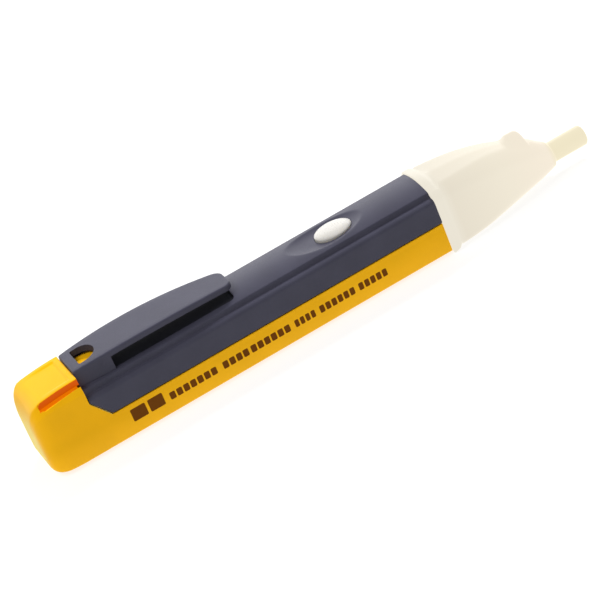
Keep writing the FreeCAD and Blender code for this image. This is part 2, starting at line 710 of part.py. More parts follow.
def tray_latch():
    """The springy tongue that ends the tail's top and reaches under the clip's bridge."""
    front = "casing_rear - running_gap"
    body = new_body("tray_latch")
    side = new_sketch(body, "latch_side", "XZ_Plane")
    draw_loop(side, [
        ("latch_hinge", f"{latch_axis_height()} - latch_thick / 2"),
        (front, "latch_nose_low"),
        (front, "tail_top_front"),
        ("latch_hinge", f"{latch_axis_height()} + latch_thick / 2"),
    ], {3: HALF_ROUND})
    pad(body, side, "2 * (latch_half_width - 0.1)", midplane=True)

    nose = new_sketch(body, "latch_nose", "XY_Plane", "latch_nose_low")
    draw_loop(nose, rectangle(f"{front} - 2", "-latch_nose_half_width",
                              "latch_nose_end", "latch_nose_half_width"))
    pad(body, nose, "latch_nose_top - latch_nose_low")

    hollow = new_sketch(body, "thumb_hollow", "XY_Plane", "tail_top_front + 1")
    draw_loop(hollow, [
        ("latch_hinge + 1", "-latch_half_width + pad_margin", "1.2"),
        (f"{front} - pad_margin", "-latch_half_width + pad_margin", "1.2"),
        (f"{front} - pad_margin", "latch_half_width - pad_margin", "1.2"),
        ("latch_hinge + 1", "latch_half_width - pad_margin", "1.2"),
    ])
    pocket(body, hollow, "1 + 2 * pad_depth")
    return body


# ---------------------------------------------------------------- nose and button

def station_outline(index, inset="0"):
    """The nose's section at one station, drawn in by inset."""
    half = f"nose_half_width_{index} - {inset}"
    low = f"nose_bottom_{index} + {inset}"
    high = f"nose_top_{index} - {inset}"
    return [
        (half, low, f"nose_lower_corner_{index} - {inset} / 2"),
        (half, high, f"nose_upper_corner_{index} - {inset} / 2"),
        (f"-({half})", high, f"nose_upper_corner_{index} - {inset} / 2"),
        (f"-({half})", low, f"nose_lower_corner_{index} - {inset} / 2"),
    ]


def loft(body, name, stations, inset="0"):
    """A smooth solid through the nose's sections at the stations."""
    sketches = []
    for index in stations:
        sketch = new_sketch(body, f"{name}_{index}", "YZ_Plane", f"nose_place_{index}")
        draw_loop(sketch, station_outline(index, inset))
        sketches.append(sketch)
    doc.recompute()
    before = body.Shape.Volume
    feature = body.newObject("PartDesign::AdditiveLoft", name)
    feature.Profile = sketches[0]
    feature.Sections = sketches[1:]
    doc.recompute()
    if abs(body.Shape.Volume - before) < 1:
        raise RuntimeError(f"{name} changes nothing")


def round_tip(body):
    """Round the edge of the sensing tip's front face."""
    base = body.Tip
    front = [f"Edge{number}" for number, edge in enumerate(base.Shape.Edges, 1)
             if edge.CenterOfMass.x > size("tip_end") - 0.01]
    fillet = body.newObject("PartDesign::Fillet", "tip_rounding")
    fillet.Base = (base, front)
    bind(fillet, "Radius", "tip_rounding")
    doc.recompute()


def nose_solid():
    body = new_body("nose_solid")
    collar_side = "body_half_width + collar_proud_side"
    collar = new_sketch(body, "collar_outline", "YZ_Plane", "casing_front")
    draw_loop(collar, [
        (collar_side, "0", "2"),
        (collar_side, "collar_edge", "collar_shoulder"),
        ("0", "collar_peak", "collar_crest_radius"),
        (f"-({collar_side})", "collar_edge", "collar_shoulder"),
        (f"-({collar_side})", "0", "2"),
    ])
    pad(body, collar, "collar_front - casing_front")
    loft(body, "nose_skin", range(1, len(NOSE_STATIONS) + 1))

    bead = new_sketch(body, "bead_side", "XZ_Plane")
    draw_loop(bead, [
        ("bump_rear", "bump_foot"),
        ("bump_front", "bump_foot"),
        ("bump_front", "bump_top", "1.3"),
        ("bump_rear", "bump_top", "1.3"),
    ])
    pad(body, bead, "2 * bump_half_width", midplane=True)

    tip = new_sketch(body, "tip_outline", "YZ_Plane", "tip_rear")
    draw_circle(tip, ("0", "tip_height"), "tip_radius")
    pad(body, tip, "tip_end - tip_rear")
    round_tip(body)
    return body


def nose_hollow():
    body = new_body("nose_hollow")
    bore = new_sketch(body, "collar_bore", "YZ_Plane", "casing_front - 1")
    draw_loop(bore, mirrored([
        ("nose_bore_half_width", "nose_bore_low", "1.6"),
        ("nose_bore_half_width", "nose_bore_top", "1.6"),
    ]))
    pad(body, bore, "collar_front - casing_front + 1")
    loft(body, "hollow_skin", range(1, len(NOSE_STATIONS)), "nose_wall")
    channel = new_sketch(body, "antenna_bore", "YZ_Plane", f"nose_place_{len(NOSE_STATIONS) - 1} - 2")
    draw_circle(channel, ("0", "tip_height"), "tip_bore")
    pad(body, channel, f"tip_end - 1.5 - nose_place_{len(NOSE_STATIONS) - 1} + 2")
    return body


def nose_cone():
    """The hollow translucent nose with its collar, raised bead and sensing tip."""
    return cut("nose_cone", nose_solid(), nose_hollow())


def push_button():
    """The oval cap with a low dome and the flange that keeps it in the casing."""
    flange_top = "flange_low + flange_thick"
    flange = new_oval("button_flange", ("button_place", "0", "flange_low"),
                      "button_half_length + flange_reach", "button_half_width + flange_reach",
                      "flange_thick")
    stem = new_oval("button_stem", ("button_place", "0", flange_top),
                    "button_half_length", "button_half_width", f"button_rim - {flange_top}")
    dome = doc.addObject("Part::Ellipsoid", "button_dome")
    bind(dome, "Radius1", "button_dome")
    bind(dome, "Radius2", "button_half_length")
    bind(dome, "Radius3", "button_half_width")
    dome.Angle1 = 0
    bind_place(dome, ("button_place", "0", "button_rim"))
    return fuse("push_button", [flange, stem, dome])


# ---------------------------------------------------------------- circuit board

def board_top():
    return "board_low + board_thick"


def circuit_board():
    wide = new_box("board_wide", ("board_rear", "-board_half_width", "board_low"),
                   ("board_step - board_rear", "2 * board_half_width", "board_thick"))
    narrow = new_box("board_narrow", ("board_step", "-board_front_half_width", "board_low"),
                     ("board_front - board_step", "2 * board_front_half_width", "board_thick"))
    holes = [
        new_cylinder(f"board_hole_{number}", (along, across, "board_low - 1"), "screw_radius + 0.1", "4")
        for number, (along, across) in enumerate(SCREW_PLACES)
    ]
    return cut("circuit_board", fuse("board_plates", [wide, narrow]), fuse("board_holes", holes))


def board_screws():
    screws = []
    for number, (along, across) in enumerate(SCREW_PLACES):
        head = new_cylinder(f"screw_head_{number}", (along, across, "board_low - screw_head_tall"),
                            "screw_head_radius", "screw_head_tall")
        shank = new_cylinder(f"screw_shank_{number}", (along, across, "board_low - 0.1"),
                             "screw_radius", "board_thick + 1.6")
        slot = new_box(f"screw_slot_{number}", (f"{along} - 2", f"{across} - 0.15", "board_low - 1"),
                       ("4", "0.3", "0.4"))
        screws.append(cut(f"screw_{number}", fuse(f"screw_solid_{number}", [head, shank]), slot))
    return group("board_screws", screws)


def switch_housing():
    housing = new_box("switch_block", ("button_place - switch_side / 2", "-switch_side / 2", board_top()),
                      ("switch_side", "switch_side", "switch_tall"))
    well = new_cylinder("switch_well", ("button_place", "0", "well_floor"), "well_radius", "2")
    return cut("switch_housing", housing, well)


def switch_dome():
    return new_cylinder("switch_dome", ("button_place", "0", "well_floor"), "well_radius - 0.1", "0.1")


def switch_plunger():
    return new_cylinder("switch_plunger", ("button_place", "0", "plunger_low"),
                        "plunger_radius", "flange_low - plunger_low")


def detector_chip():
    return new_box("detector_chip",
                   ("chip_place - chip_length / 2", "-chip_half_width", f"{board_top()} + 0.1"),
                   ("chip_length", "2 * chip_half_width", "1.3"))


def chip_leads():
    """Seven bent leads on each long side of the chip."""
    leads = []
    for side, start in (("near", "-chip_half_width - 1"), ("far", "chip_half_width")):
        for number in range(7):
            along = f"chip_place + {number - 3} * lead_pitch - 0.2"
            shoulder = new_box(f"lead_{side}_{number}_top", (along, start, f"{board_top()} + 0.6"),
                               ("0.4", "1", "0.15"))
            outer = "-chip_half_width - 1.15" if side == "near" else "chip_half_width + 1"
            leg = new_box(f"lead_{side}_{number}_leg", (along, outer, board_top()), ("0.4", "0.15", "0.75"))
            leads.append(fuse(f"lead_{side}_{number}", [shoulder, leg]))
    return group("chip_leads", leads)


def small_blocks(name, places, lengths):
    """Equal surface-mounted blocks on top of the board."""
    blocks = [
        new_box(f"{name}_{number}", (along, across, board_top()), lengths)
        for number, (along, across) in enumerate(places)
    ]
    return group(name, blocks)


def resistors():
    places = [(f"board_rear + {4 + 3 * step}", across) for step in range(3) for across in ("-3.4", "2.6")]
    return small_blocks("resistors", places, ("1.6", "0.8", "0.45"))


def capacitors():
    places = [(f"board_step + {1.5 + 3 * step}", across) for step in range(3) for across in ("-3.2", "2")]
    return small_blocks("capacitors", places, ("1.6", "1.2", "0.8"))


def transistor():
    return new_box("transistor", ("board_front - 5", "-1.45", board_top()), ("1.3", "2.9", "1"))


def reservoir_capacitor():
    can = new_cylinder("capacitor_can", ("screw_front", "0", "board_low - 4.6"), "2", "4.6")
    groove = doc.addObject("Part::Torus", "capacitor_groove")
    groove.Radius2 = 0.25
    bind(groove, "Radius1", "2.1")
    bind_place(groove, ("screw_front", "0", "board_low - 1"))
    return cut("reservoir_capacitor", can, groove)


def buzzer_case():
    shell = new_cylinder("buzzer_shell", ("buzzer_place", "0", "board_low - buzzer_tall"),
                         "buzzer_radius", "buzzer_tall")
    cavity = new_cylinder("buzzer_cavity", ("buzzer_place", "0", "board_low - buzzer_tall - 0.1"),
                          "buzzer_radius - 0.5", "buzzer_tall - 0.5")
    return cut("buzzer_case", shell, cavity)


def buzzer_plate():
    return new_cylinder("buzzer_plate", ("buzzer_place", "0", "board_low - buzzer_tall + 0.4"),
                        "buzzer_radius - 0.55", "0.2")


def buzzer_ceramic():
    return new_cylinder("buzzer_ceramic", ("buzzer_place", "0", "board_low - buzzer_tall + 0.6"),
                        "buzzer_radius - 1.4", "0.2")


def indicator_lamp():
    """A round lamp with a rim at its rear and a domed front."""
    place = ("lamp_rear", "0", "lamp_height")
    rim = new_cylinder("lamp_rim", place, "lamp_radius + 0.25", "0.7", FORWARD)
    lens = new_cylinder("lamp_lens", place, "lamp_radius", "lamp_length - lamp_radius", FORWARD)
    dome = doc.addObject("Part::Sphere", "lamp_dome")
    bind(dome, "Radius", "lamp_radius")
    bind_place(dome, ("lamp_rear + lamp_length - lamp_radius", "0", "lamp_height"))
    return fuse("indicator_lamp", [rim, lens, dome])


def lamp_legs():
    legs = []
    for side, across in (("near", "-0.7"), ("far", "0.7")):
        bar = new_cylinder(f"leg_{side}_bar", ("lamp_rear - 4", across, "lamp_height"), "0.25", "4", FORWARD)
        post = new_cylinder(f"leg_{side}_post", ("lamp_rear - 4", across, "lamp_height - 0.25"), "0.25",
                            "board_low - lamp_height + 0.25")
        legs.append(fuse(f"leg_{side}", [bar, post]))
    return group("lamp_legs", legs)


def antenna_strip():
    """The bent copper strip from the board down into the bore of the tip."""
    body = new_body("antenna_strip")
    side = new_sketch(body, "antenna_side", "XZ_Plane")
    draw_loop(side, [
        ("antenna_rear", "7"),
        ("tip_rear - 3", "tip_height - 0.2"),
        ("tip_end - 2", "tip_height - 0.2"),
        ("tip_end - 2", "tip_height + 0.2"),
        ("tip_rear - 2.9", "tip_height + 0.2"),
        ("antenna_rear + 0.4", "7.36"),
        ("antenna_rear + 0.4", "board_low"),
        ("antenna_rear", "board_low"),
    ])
    pad(body, side, "1.8", midplane=True)
    return body


# ---------------------------------------------------------------- cells and contacts

def terminal_rear():
    return "cell_rear + cell_length - terminal_length"


def new_cell(name, place):
    return new_cylinder(name, (place, "0", "cell_height"), "cell_radius",
                        "cell_length - terminal_length", FORWARD)


def battery_rear():
    return new_cell("battery_rear", "cell_rear")


def battery_front():
    return new_cell("battery_front", "cell_rear + cell_length")


def terminal_base(number):
    """Where the positive terminal of a cell, counted from the rear, starts."""
    return (f"{terminal_rear()} + {number} * cell_length", "0", "cell_height")


def battery_terminals():
    terminals = [
        new_cylinder(f"terminal_{number}", terminal_base(number),
                     "terminal_radius", "terminal_length", FORWARD)
        for number in range(2)
    ]
    return group("battery_terminals", terminals)


def battery_washers():
    washers = []
    for number in range(2):
        place = terminal_base(number)
        disc = new_cylinder(f"washer_disc_{number}", place, "cell_radius - 0.5", "washer_thick", FORWARD)
        eye = new_cylinder(f"washer_eye_{number}", place, "terminal_radius + 0.1", "washer_thick", FORWARD)
        washers.append(cut(f"washer_{number}", disc, eye))
    return group("battery_washers", washers)


def front_contact():
    """The angle of sheet metal that meets the front cell's terminal with a round boss."""
    face = "cell_rear + 2 * cell_length + 0.3"
    blade = new_box("contact_blade", (face, "-3", "cell_height - 3"),
                    ("contact_thick", "6", "board_low - cell_height + 3"))
    foot = new_box("contact_foot", (face, "-3", "board_low - contact_thick"), ("2", "6", "contact_thick"))
    boss = new_cylinder("contact_boss", ("cell_rear + 2 * cell_length + 0.05", "0", "cell_height"),
                        "1.2", "0.3", FORWARD)
    return fuse("front_contact", [blade, foot, boss])


def rear_contact():
    inner_wall = "tail_end + tail_wall"
    plate = new_box("contact_plate", (inner_wall, "-4.6", "cell_height - 4.4"),
                    ("contact_thick", "9.2", "8.8"))
    tab = new_box("contact_tab", (inner_wall, "4.5", "strip_low"), ("contact_thick", "0.95", "1.3"))
    return fuse("rear_contact", [plate, tab])


def return_strip():
    start = "tail_end + tail_wall + contact_thick"
    return new_box("return_strip", (start, "flange_inner - 0.45", "strip_low"),
                   (f"tray_front - 4 - ({start})", "0.3", "1.3"))


def return_finger():
    return new_box("return_finger", ("tray_front - 7", "flange_inner - 0.45", "strip_low + 1.4"),
                   ("2.5", "0.3", "board_low - strip_low - 1.4"))


def contact_spring():
    """A coil spring between the rear contact plate and the rear cell."""
    body = new_body("contact_spring")
    wire = new_sketch(body, "spring_wire_section", "XZ_Plane")
    draw_circle(wire, ("spring_radius", "spring_wire"), "spring_wire")
    coil = body.newObject("PartDesign::AdditiveHelix", "spring_coil")
    coil.Profile = wire
    coil.ReferenceAxis = (wire, ["V_Axis"])
    coil.Mode = 0
    bind(coil, "Pitch", "spring_pitch")
    bind(coil, "Height", "cell_rear - tail_end - tail_wall - contact_thick - 2 * spring_wire - 0.1")
    body.Placement.Rotation = FreeCAD.Rotation(UP, FORWARD)
    bind_place(body, ("tail_end + tail_wall + contact_thick + 0.05", "0", "cell_height"))
    return body


MAKERS = (
    upper_casing, clip_root_block, clip_arm, nose_cone, push_button,
    lower_tray, tray_latch, rear_contact, contact_spring, return_strip,
    battery_rear, battery_front, battery_terminals, battery_washers,
    circuit_board, board_screws, switch_housing, switch_dome, switch_plunger,
    detector_chip, chip_leads, resistors, capacitors, transistor, reservoir_capacitor,
    buzzer_case, buzzer_plate, buzzer_ceramic, indicator_lamp, lamp_legs,
    antenna_strip, front_contact, return_finger,
)


def check(parts):
    failed = [item.Name for item in doc.Objects if {"Invalid", "Error"} & set(item.State)]
    broken = [part.Label for part in parts if part.Shape.isNull() or not part.Shape.isValid()]
    if failed or broken:
        raise RuntimeError(f"failed: {failed}, broken: {broken}")


def main():
    parts = [maker() for maker in MAKERS]
    doc.recompute()
    check(parts)
    os.makedirs("parts", exist_ok=True)
    for part in parts:
        part.Shape.exportStep(f"parts/{part.Label}.step")
        print(part.Label, round(part.Shape.Volume, 2), len(part.Shape.Solids))


main()
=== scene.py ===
import math

import bmesh
import bpy
from mathutils import Matrix, Vector


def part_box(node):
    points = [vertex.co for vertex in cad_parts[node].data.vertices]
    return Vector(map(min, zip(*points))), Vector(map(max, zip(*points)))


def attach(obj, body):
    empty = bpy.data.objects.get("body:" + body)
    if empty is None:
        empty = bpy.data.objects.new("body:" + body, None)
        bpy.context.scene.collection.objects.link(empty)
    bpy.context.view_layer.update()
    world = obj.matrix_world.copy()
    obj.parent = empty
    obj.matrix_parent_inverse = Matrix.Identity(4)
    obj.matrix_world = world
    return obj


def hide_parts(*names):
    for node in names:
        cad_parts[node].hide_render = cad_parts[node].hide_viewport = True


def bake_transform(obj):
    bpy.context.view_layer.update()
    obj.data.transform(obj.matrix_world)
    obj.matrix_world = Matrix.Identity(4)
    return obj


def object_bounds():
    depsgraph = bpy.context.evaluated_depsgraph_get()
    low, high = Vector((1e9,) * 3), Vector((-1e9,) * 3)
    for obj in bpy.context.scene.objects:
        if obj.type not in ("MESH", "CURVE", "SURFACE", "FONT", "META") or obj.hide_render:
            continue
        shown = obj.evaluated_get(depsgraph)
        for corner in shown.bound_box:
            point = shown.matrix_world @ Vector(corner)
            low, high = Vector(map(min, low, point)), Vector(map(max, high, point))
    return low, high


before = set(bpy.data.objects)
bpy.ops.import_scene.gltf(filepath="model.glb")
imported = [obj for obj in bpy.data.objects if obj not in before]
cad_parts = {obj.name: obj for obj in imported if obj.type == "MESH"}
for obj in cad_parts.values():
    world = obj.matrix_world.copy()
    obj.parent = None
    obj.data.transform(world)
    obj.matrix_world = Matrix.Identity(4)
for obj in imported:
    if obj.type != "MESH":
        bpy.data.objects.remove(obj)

# A finer mesh round each visible moulding of the CAD frame, with materials, light, floor and camera.
# Lengths are in millimetres unless a name or a comment says otherwise.

MM = 0.001
cad_box = [list(corner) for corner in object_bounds()]


# ---------------------------------------------------------------- camera, light and floor

def make_camera():
    """A camera above the near side, swung a little towards the tail and rolled, so the tester lies aslant."""
    swing, height, roll = math.radians(11.28), math.radians(30.97), math.radians(30)
    target, distance, lens = Vector((-4.6, 0, 4.73)), 698, 180.5
    along = Vector((1, 0, 0))
    level = Vector((0, -math.cos(height), math.sin(height)))
    back = level * math.cos(swing) - along * math.sin(swing)
    axis = (along - along.dot(back) * back).normalized()
    down = axis.cross(back)
    right = math.cos(roll) * axis + math.sin(roll) * down
    up = math.sin(roll) * axis - math.cos(roll) * down
    data = bpy.data.cameras.new("camera")
    data.lens = lens
    data.clip_start = 0.01
    camera = bpy.data.objects.new("camera", data)
    bpy.context.scene.collection.objects.link(camera)
    rotation = Matrix((right, up, back)).transposed()
    camera.matrix_world = Matrix.Translation((target + back * distance) * MM) @ rotation.to_4x4()
    bpy.context.scene.camera = camera


def area_light(name, place, size, watts):
    """A light that looks at the tester; place and size in metres."""
    data = bpy.data.lights.new(name, "AREA")
    data.shape = "DISK"
    data.size = size
    data.energy = watts
    light = bpy.data.objects.new(name, data)
    bpy.context.scene.collection.objects.link(light)
    light.location = place
    light.rotation_euler = (-Vector(place)).to_track_quat("-Z", "Y").to_euler()
    return light


def make_lights():
    """Two soft lights without highlights of their own, and a card behind that only shows as gloss."""
    for name, place, size, watts in (("key", (0.39, 0.485, 0.78), 0.28, 9.0),
                                     ("fill", (-0.45, -0.12, 0.80), 0.5, 4.0)):
        area_light(name, place, size, watts).visible_glossy = False
    card = area_light("back_card", (0.0, 1.1, 0.58), 2.6, 18.0)
    card.data.shape = "RECTANGLE"
    card.data.size_y = 1.0
    card.visible_diffuse = False
    world = bpy.data.worlds.new("studio")
    bpy.context.scene.world = world
    world.use_nodes = True
    background = world.node_tree.nodes["Background"]
    background.inputs["Color"].default_value = (1, 1, 1, 1)
    background.inputs["Strength"].default_value = 0.42


def make_floor():
    """A pale floor, in metres, with a glow of its own that leaves only a faint shadow on it."""
    half, gap = 3.0, 0.0001
    level = cad_box[0][2] - gap
    mesh = bpy.data.meshes.new("floor")
    mesh.from_pydata([(-half, -half, level), (half, -half, level), (half, half, level), (-half, half, level)],
                     [], [(0, 1, 2, 3)])
    floor = bpy.data.objects.new("floor", mesh)
    bpy.context.scene.collection.objects.link(floor)
    material, _, shader = new_material("floor_white")
    shader.inputs["Base Color"].default_value = (0.30, 0.30, 0.30, 1)
    shader.inputs["Roughness"].default_value = 0.9
    shader.inputs["Emission Color"].default_value = (1, 1, 1, 1)
    shader.inputs["Emission Strength"].default_value = 0.74
    mesh.materials.append(material)


def make_studio():
    make_camera()
    make_lights()
    make_floor()
    bpy.context.scene.view_settings.view_transform = "Standard"
    bpy.context.scene.view_settings.exposure = 0.0


# ---------------------------------------------------------------- materials

def new_material(name):
    """A material with its node tree and its shader."""
    material = bpy.data.materials.new(name)
    material.use_nodes = True
    return material, material.node_tree, material.node_tree.nodes["Principled BSDF"]


def noise(tree, scale, detail, stretch=None):
    """Noise over the object's own coordinates, scale in features per millimetre."""
    place = tree.nodes.new("ShaderNodeTexCoord")
    texture = tree.nodes.new("ShaderNodeTexNoise")
    texture.inputs["Scale"].default_value = scale / MM
    texture.inputs["Detail"].default_value = detail
    source = place.outputs["Object"]
    if stretch:
        mapping = tree.nodes.new("ShaderNodeMapping")
        mapping.inputs["Scale"].default_value = stretch
        tree.links.new(source, mapping.inputs["Vector"])
        source = mapping.outputs["Vector"]
    tree.links.new(source, texture.inputs["Vector"])
    return texture.outputs["Fac"]


def ramp(tree, factor, low, high):
    """Map noise to a range of colour."""
    node = tree.nodes.new("ShaderNodeValToRGB")
    first, last = node.color_ramp.elements
    first.position, first.color = 0.35, (*low, 1)
    last.position, last.color = 0.65, (*high, 1)
    tree.links.new(factor, node.inputs["Fac"])
    return node.outputs["Color"]


def spread(tree, factor, low, high):
    """Map noise to a range of roughness."""
    node = tree.nodes.new("ShaderNodeMapRange")
    node.inputs["From Min"].default_value = 0.3
    node.inputs["From Max"].default_value = 0.7
    node.inputs["To Min"].default_value = low
    node.inputs["To Max"].default_value = high
    tree.links.new(factor, node.inputs["Value"])
    return node.outputs["Result"]


def bump(tree, shader, height, distance):
    node = tree.nodes.new("ShaderNodeBump")
    node.inputs["Distance"].default_value = distance * MM
    tree.links.new(height, node.inputs["Height"])
    tree.links.new(node.outputs["Normal"], shader.inputs["Normal"])


def tinted(colour, factor):
    """A colour made darker or lighter by a factor."""
    return tuple(min(channel * factor, 1.0) for channel in colour)


def painted_glow(tree, shader, axis, start, end, stops):
    """Painted light: an emitted colour that changes along an axis, from start to end; it stands in for light
    and shade on the plastic.
    """
    place = tree.nodes.new("ShaderNodeTexCoord")
    parts = tree.nodes.new("ShaderNodeSeparateXYZ")
    tree.links.new(place.outputs["Object"], parts.inputs["Vector"])
    share = tree.nodes.new("ShaderNodeMapRange")
    share.inputs["From Min"].default_value = start * MM
    share.inputs["From Max"].default_value = end * MM
    tree.links.new(parts.outputs[axis], share.inputs["Value"])
    node = tree.nodes.new("ShaderNodeValToRGB")
    first, last = node.color_ramp.elements
    first.position, first.color = stops[0][0], (*stops[0][1], 1)
    last.position, last.color = stops[-1][0], (*stops[-1][1], 1)
    for position, tint in stops[1:-1]:
        node.color_ramp.elements.new(position).color = (*tint, 1)
    tree.links.new(share.outputs["Result"], node.inputs["Fac"])
    tree.links.new(node.outputs["Color"], shader.inputs["Emission Color"])
    shader.inputs["Emission Strength"].default_value = 1.0


def moulded(name, colour, roughness, grain=3.0, depth=0.012, mottle=0.06, gloss=0.5, soft=0.0, sheen=None,
            glow=None):
    """Moulded plastic: a fine eroded grain, a faint mottle and uneven gloss. Sheen is its tint, if any; glow,
    if given, is painted light emitted along an axis.
    """
    material, tree, shader = new_material(name)
    cloud = noise(tree, 0.12, 4.0)
    surface = ramp(tree, cloud, tinted(colour, 1 - mottle), tinted(colour, 1 + mottle))
    tree.links.new(surface, shader.inputs["Base Color"])
    fine = noise(tree, grain, 2.0)
    tree.links.new(spread(tree, fine, roughness - 0.06, roughness + 0.06), shader.inputs["Roughness"])
    bump(tree, shader, fine, depth)
    shader.inputs["Specular IOR Level"].default_value = gloss
    if sheen:
        shader.inputs["Sheen Weight"].default_value = 1.0
        shader.inputs["Sheen Roughness"].default_value = 0.3
        shader.inputs["Sheen Tint"].default_value = (*sheen, 1)
    if soft:
        shader.inputs["Subsurface Weight"].default_value = soft
        shader.inputs["Subsurface Radius"].default_value = (1.0, 0.9, 0.7)
        shader.inputs["Subsurface Scale"].default_value = 5 * MM
    if glow:
        painted_glow(tree, shader, *glow)
    return material


def metal(name, colour, roughness, stretch=(1, 12, 12)):
    """Sheet or wire metal with drawn lines and uneven polish."""
    material, tree, shader = new_material(name)
    lines = noise(tree, 0.8, 3.0, stretch)
    tree.links.new(ramp(tree, lines, tinted(colour, 0.85), tinted(colour, 1.08)), shader.inputs["Base Color"])
    tree.links.new(spread(tree, lines, roughness - 0.08, roughness + 0.1), shader.inputs["Roughness"])
    bump(tree, shader, lines, 0.004)
    shader.inputs["Metallic"].default_value = 1.0
    return material


MATERIALS = {
    "casing_grey": moulded("casing_grey", (0.0525, 0.0515, 0.0755), 0.42, gloss=0.14),
    # Painted shade: a darker, matte grey for the recess under the clip, in place of the shadow there.
    "recess_shade_grey": moulded("recess_shade_grey", (0.040, 0.041, 0.052), 0.8, gloss=0.04),
    # Painted light: the yellow glows faintly at the bottom, fading out 7 mm up, in place of light thrown up
    # from the floor.
    "tray_yellow": moulded("tray_yellow", (0.85, 0.43, 0.003), 0.45, mottle=0.03, gloss=0.06,
                           sheen=(0.9, 1.0, 0.45),
                           glow=("Z", 0.4, 7, ((0, (0.15, 0.08, 0.008)), (1, (0, 0, 0))))),
    # Painted shade and light: a deep orange for the slot round the tongue. Its glow is brighter low down and
    # darker under the tongue, in place of the shaded, lit-through recess.
    "slot_shade_orange": moulded("slot_shade_orange", (0.30, 0.03, 0.0), 0.5, gloss=0.1,
                           glow=("Z", 16.8, 18.4, ((0, (0.62, 0.155, 0.0)), (1, (0.41, 0.07, 0.0))))),
    # Painted light: the nose's own colour is nearly black, and its whiteness is an emitted glow along its
    # length in place of light through the plastic and its shading.
    "nose_white": moulded("nose_white", (0.028, 0.027, 0.024), 0.35, depth=0.003, mottle=0.02, gloss=0.15,
                          glow=("X", 30, 75, ((0.09, (0.79, 0.74, 0.63)), (0.14, (0.76, 0.70, 0.58)),
                                              (0.45, (0.83, 0.765, 0.63)), (0.75, (0.88, 0.79, 0.655)),
                                              (0.79, (0.84, 0.76, 0.55))))),
    "button_white": moulded("button_white", (0.54, 0.52, 0.485), 0.3, depth=0.004, mottle=0.015, soft=0.3),
    "print_brown": moulded("print_brown", (0.145, 0.045, 0.002), 0.5, depth=0.002, gloss=0.05),
    "nickel_steel": metal("nickel_steel", (0.62, 0.62, 0.60), 0.28),
    "copper": metal("copper", (0.72, 0.36, 0.20), 0.3),
    "board_green": moulded("board_green", (0.02, 0.16, 0.05), 0.3, grain=1.2, depth=0.01),
    "component_black": moulded("component_black", (0.02, 0.02, 0.022), 0.5, depth=0.006),
    "cell_jacket": moulded("cell_jacket", (0.03, 0.05, 0.09), 0.3, depth=0.003),
    "cell_terminal": metal("cell_terminal", (0.70, 0.70, 0.68), 0.25),
    "washer_paper": moulded("washer_paper", (0.70, 0.66, 0.55), 0.8, grain=1.5, depth=0.02),
    "ceramic_tan": moulded("ceramic_tan", (0.50, 0.36, 0.22), 0.5, grain=2.0),
    "lamp_red": moulded("lamp_red", (0.60, 0.02, 0.01), 0.15, depth=0.002, soft=0.5),
    "buzzer_brass": metal("buzzer_brass", (0.75, 0.55, 0.22), 0.3, (4, 4, 4)),
    "tinned_leads": metal("tinned_leads", (0.66, 0.66, 0.64), 0.35),
}


def dress_nodes():
    """Give every carried-over CAD node the material that its slot is named after."""
    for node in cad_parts.values():
        for entry in node.material_slots:
            entry.material = MATERIALS[entry.material.name]


# ---------------------------------------------------------------- outlines and meshes
# x runs along the tester, and a section of it is drawn in (across, up).

def rounded(corners, steps, between):
    """A closed outline from (across, up, radius) corners.

    Each arc has `steps` chords, and each straight between arcs has `between` points.
    """
    arcs = []
    count = len(corners)
    for index, (across, up, radius) in enumerate(corners):
        here = Vector((across, up))
        if not radius:
            arcs.append([here])
            continue
        back = (Vector(corners[index - 1][:2]) - here).normalized()
        ahead = (Vector(corners[(index + 1) % count][:2]) - here).normalized()
        half = back.angle(ahead) / 2
        centre = here + (back + ahead).normalized() * (radius / math.sin(half))
        first = here + back * (radius / math.tan(half)) - centre
        last = here + ahead * (radius / math.tan(half)) - centre
        start = math.atan2(first.y, first.x)
        sweep = (math.atan2(last.y, last.x) - start + math.pi) % math.tau - math.pi
        turns = [start + sweep * step / steps for step in range(steps + 1)]
        arcs.append([centre + radius * Vector((math.cos(turn), math.sin(turn))) for turn in turns])
    outline = []
    for arc, following in zip(arcs, arcs[1:] + arcs[:1]):
        outline += arc
        outline += [arc[-1].lerp(following[0], step / (between + 1)) for step in range(1, between + 1)]
    return outline


def quarter(centre, radius, step, steps):
    """A point of a quarter circle, after some of its steps."""
    turn = math.radians(90 * step / steps)
    return centre[0] + radius * math.cos(turn), centre[1] + radius * math.sin(turn)


def ease(value):
    """A smooth step from 0 to 1."""
    value = min(max(value, 0), 1)
    return value * value * (3 - 2 * value)


def mirrored(half):
    """The right half of a section, from bottom to top, completed with its left half."""
    return half + [(-corner[0], *corner[1:]) for corner in reversed(half)]


def section(place, outline):
    """The points of an outline in the cross-section at a place along the tester."""
    return [Vector((place, point[0], point[1])) for point in outline]


def new_piece(name, mesh):
    bmesh.ops.recalc_face_normals(mesh, faces=mesh.faces)
    data = bpy.data.meshes.new(name)
    mesh.to_mesh(data)
    mesh.free()
    piece = bpy.data.objects.new(name, data)
    bpy.context.scene.collection.objects.link(piece)
    return piece


def loft(name, rings):
    """A closed solid through rings of equal length; a ring of one point is a pole."""
    mesh = bmesh.new()
    rows = [[mesh.verts.new(point * MM) for point in ring] for ring in rings]
    for row, following in zip(rows, rows[1:]):
        size = max(len(row), len(following))
        for index in range(size):
            after = (index + 1) % size
            corners = [row[index % len(row)], row[after % len(row)],
                       following[after % len(following)], following[index % len(following)]]
            mesh.faces.new(list(dict.fromkeys(corners)))
    for row in (rows[0], rows[-1]):
        if len(row) > 1:
            mesh.faces.new(row)
    return new_piece(name, mesh)


def prism(name, outline, start, end):
    """An outline in the x-z plane, drawn from across = start to end."""
    return loft(name, [[Vector((along, across, up)) for along, up in outline] for across in (start, end)])


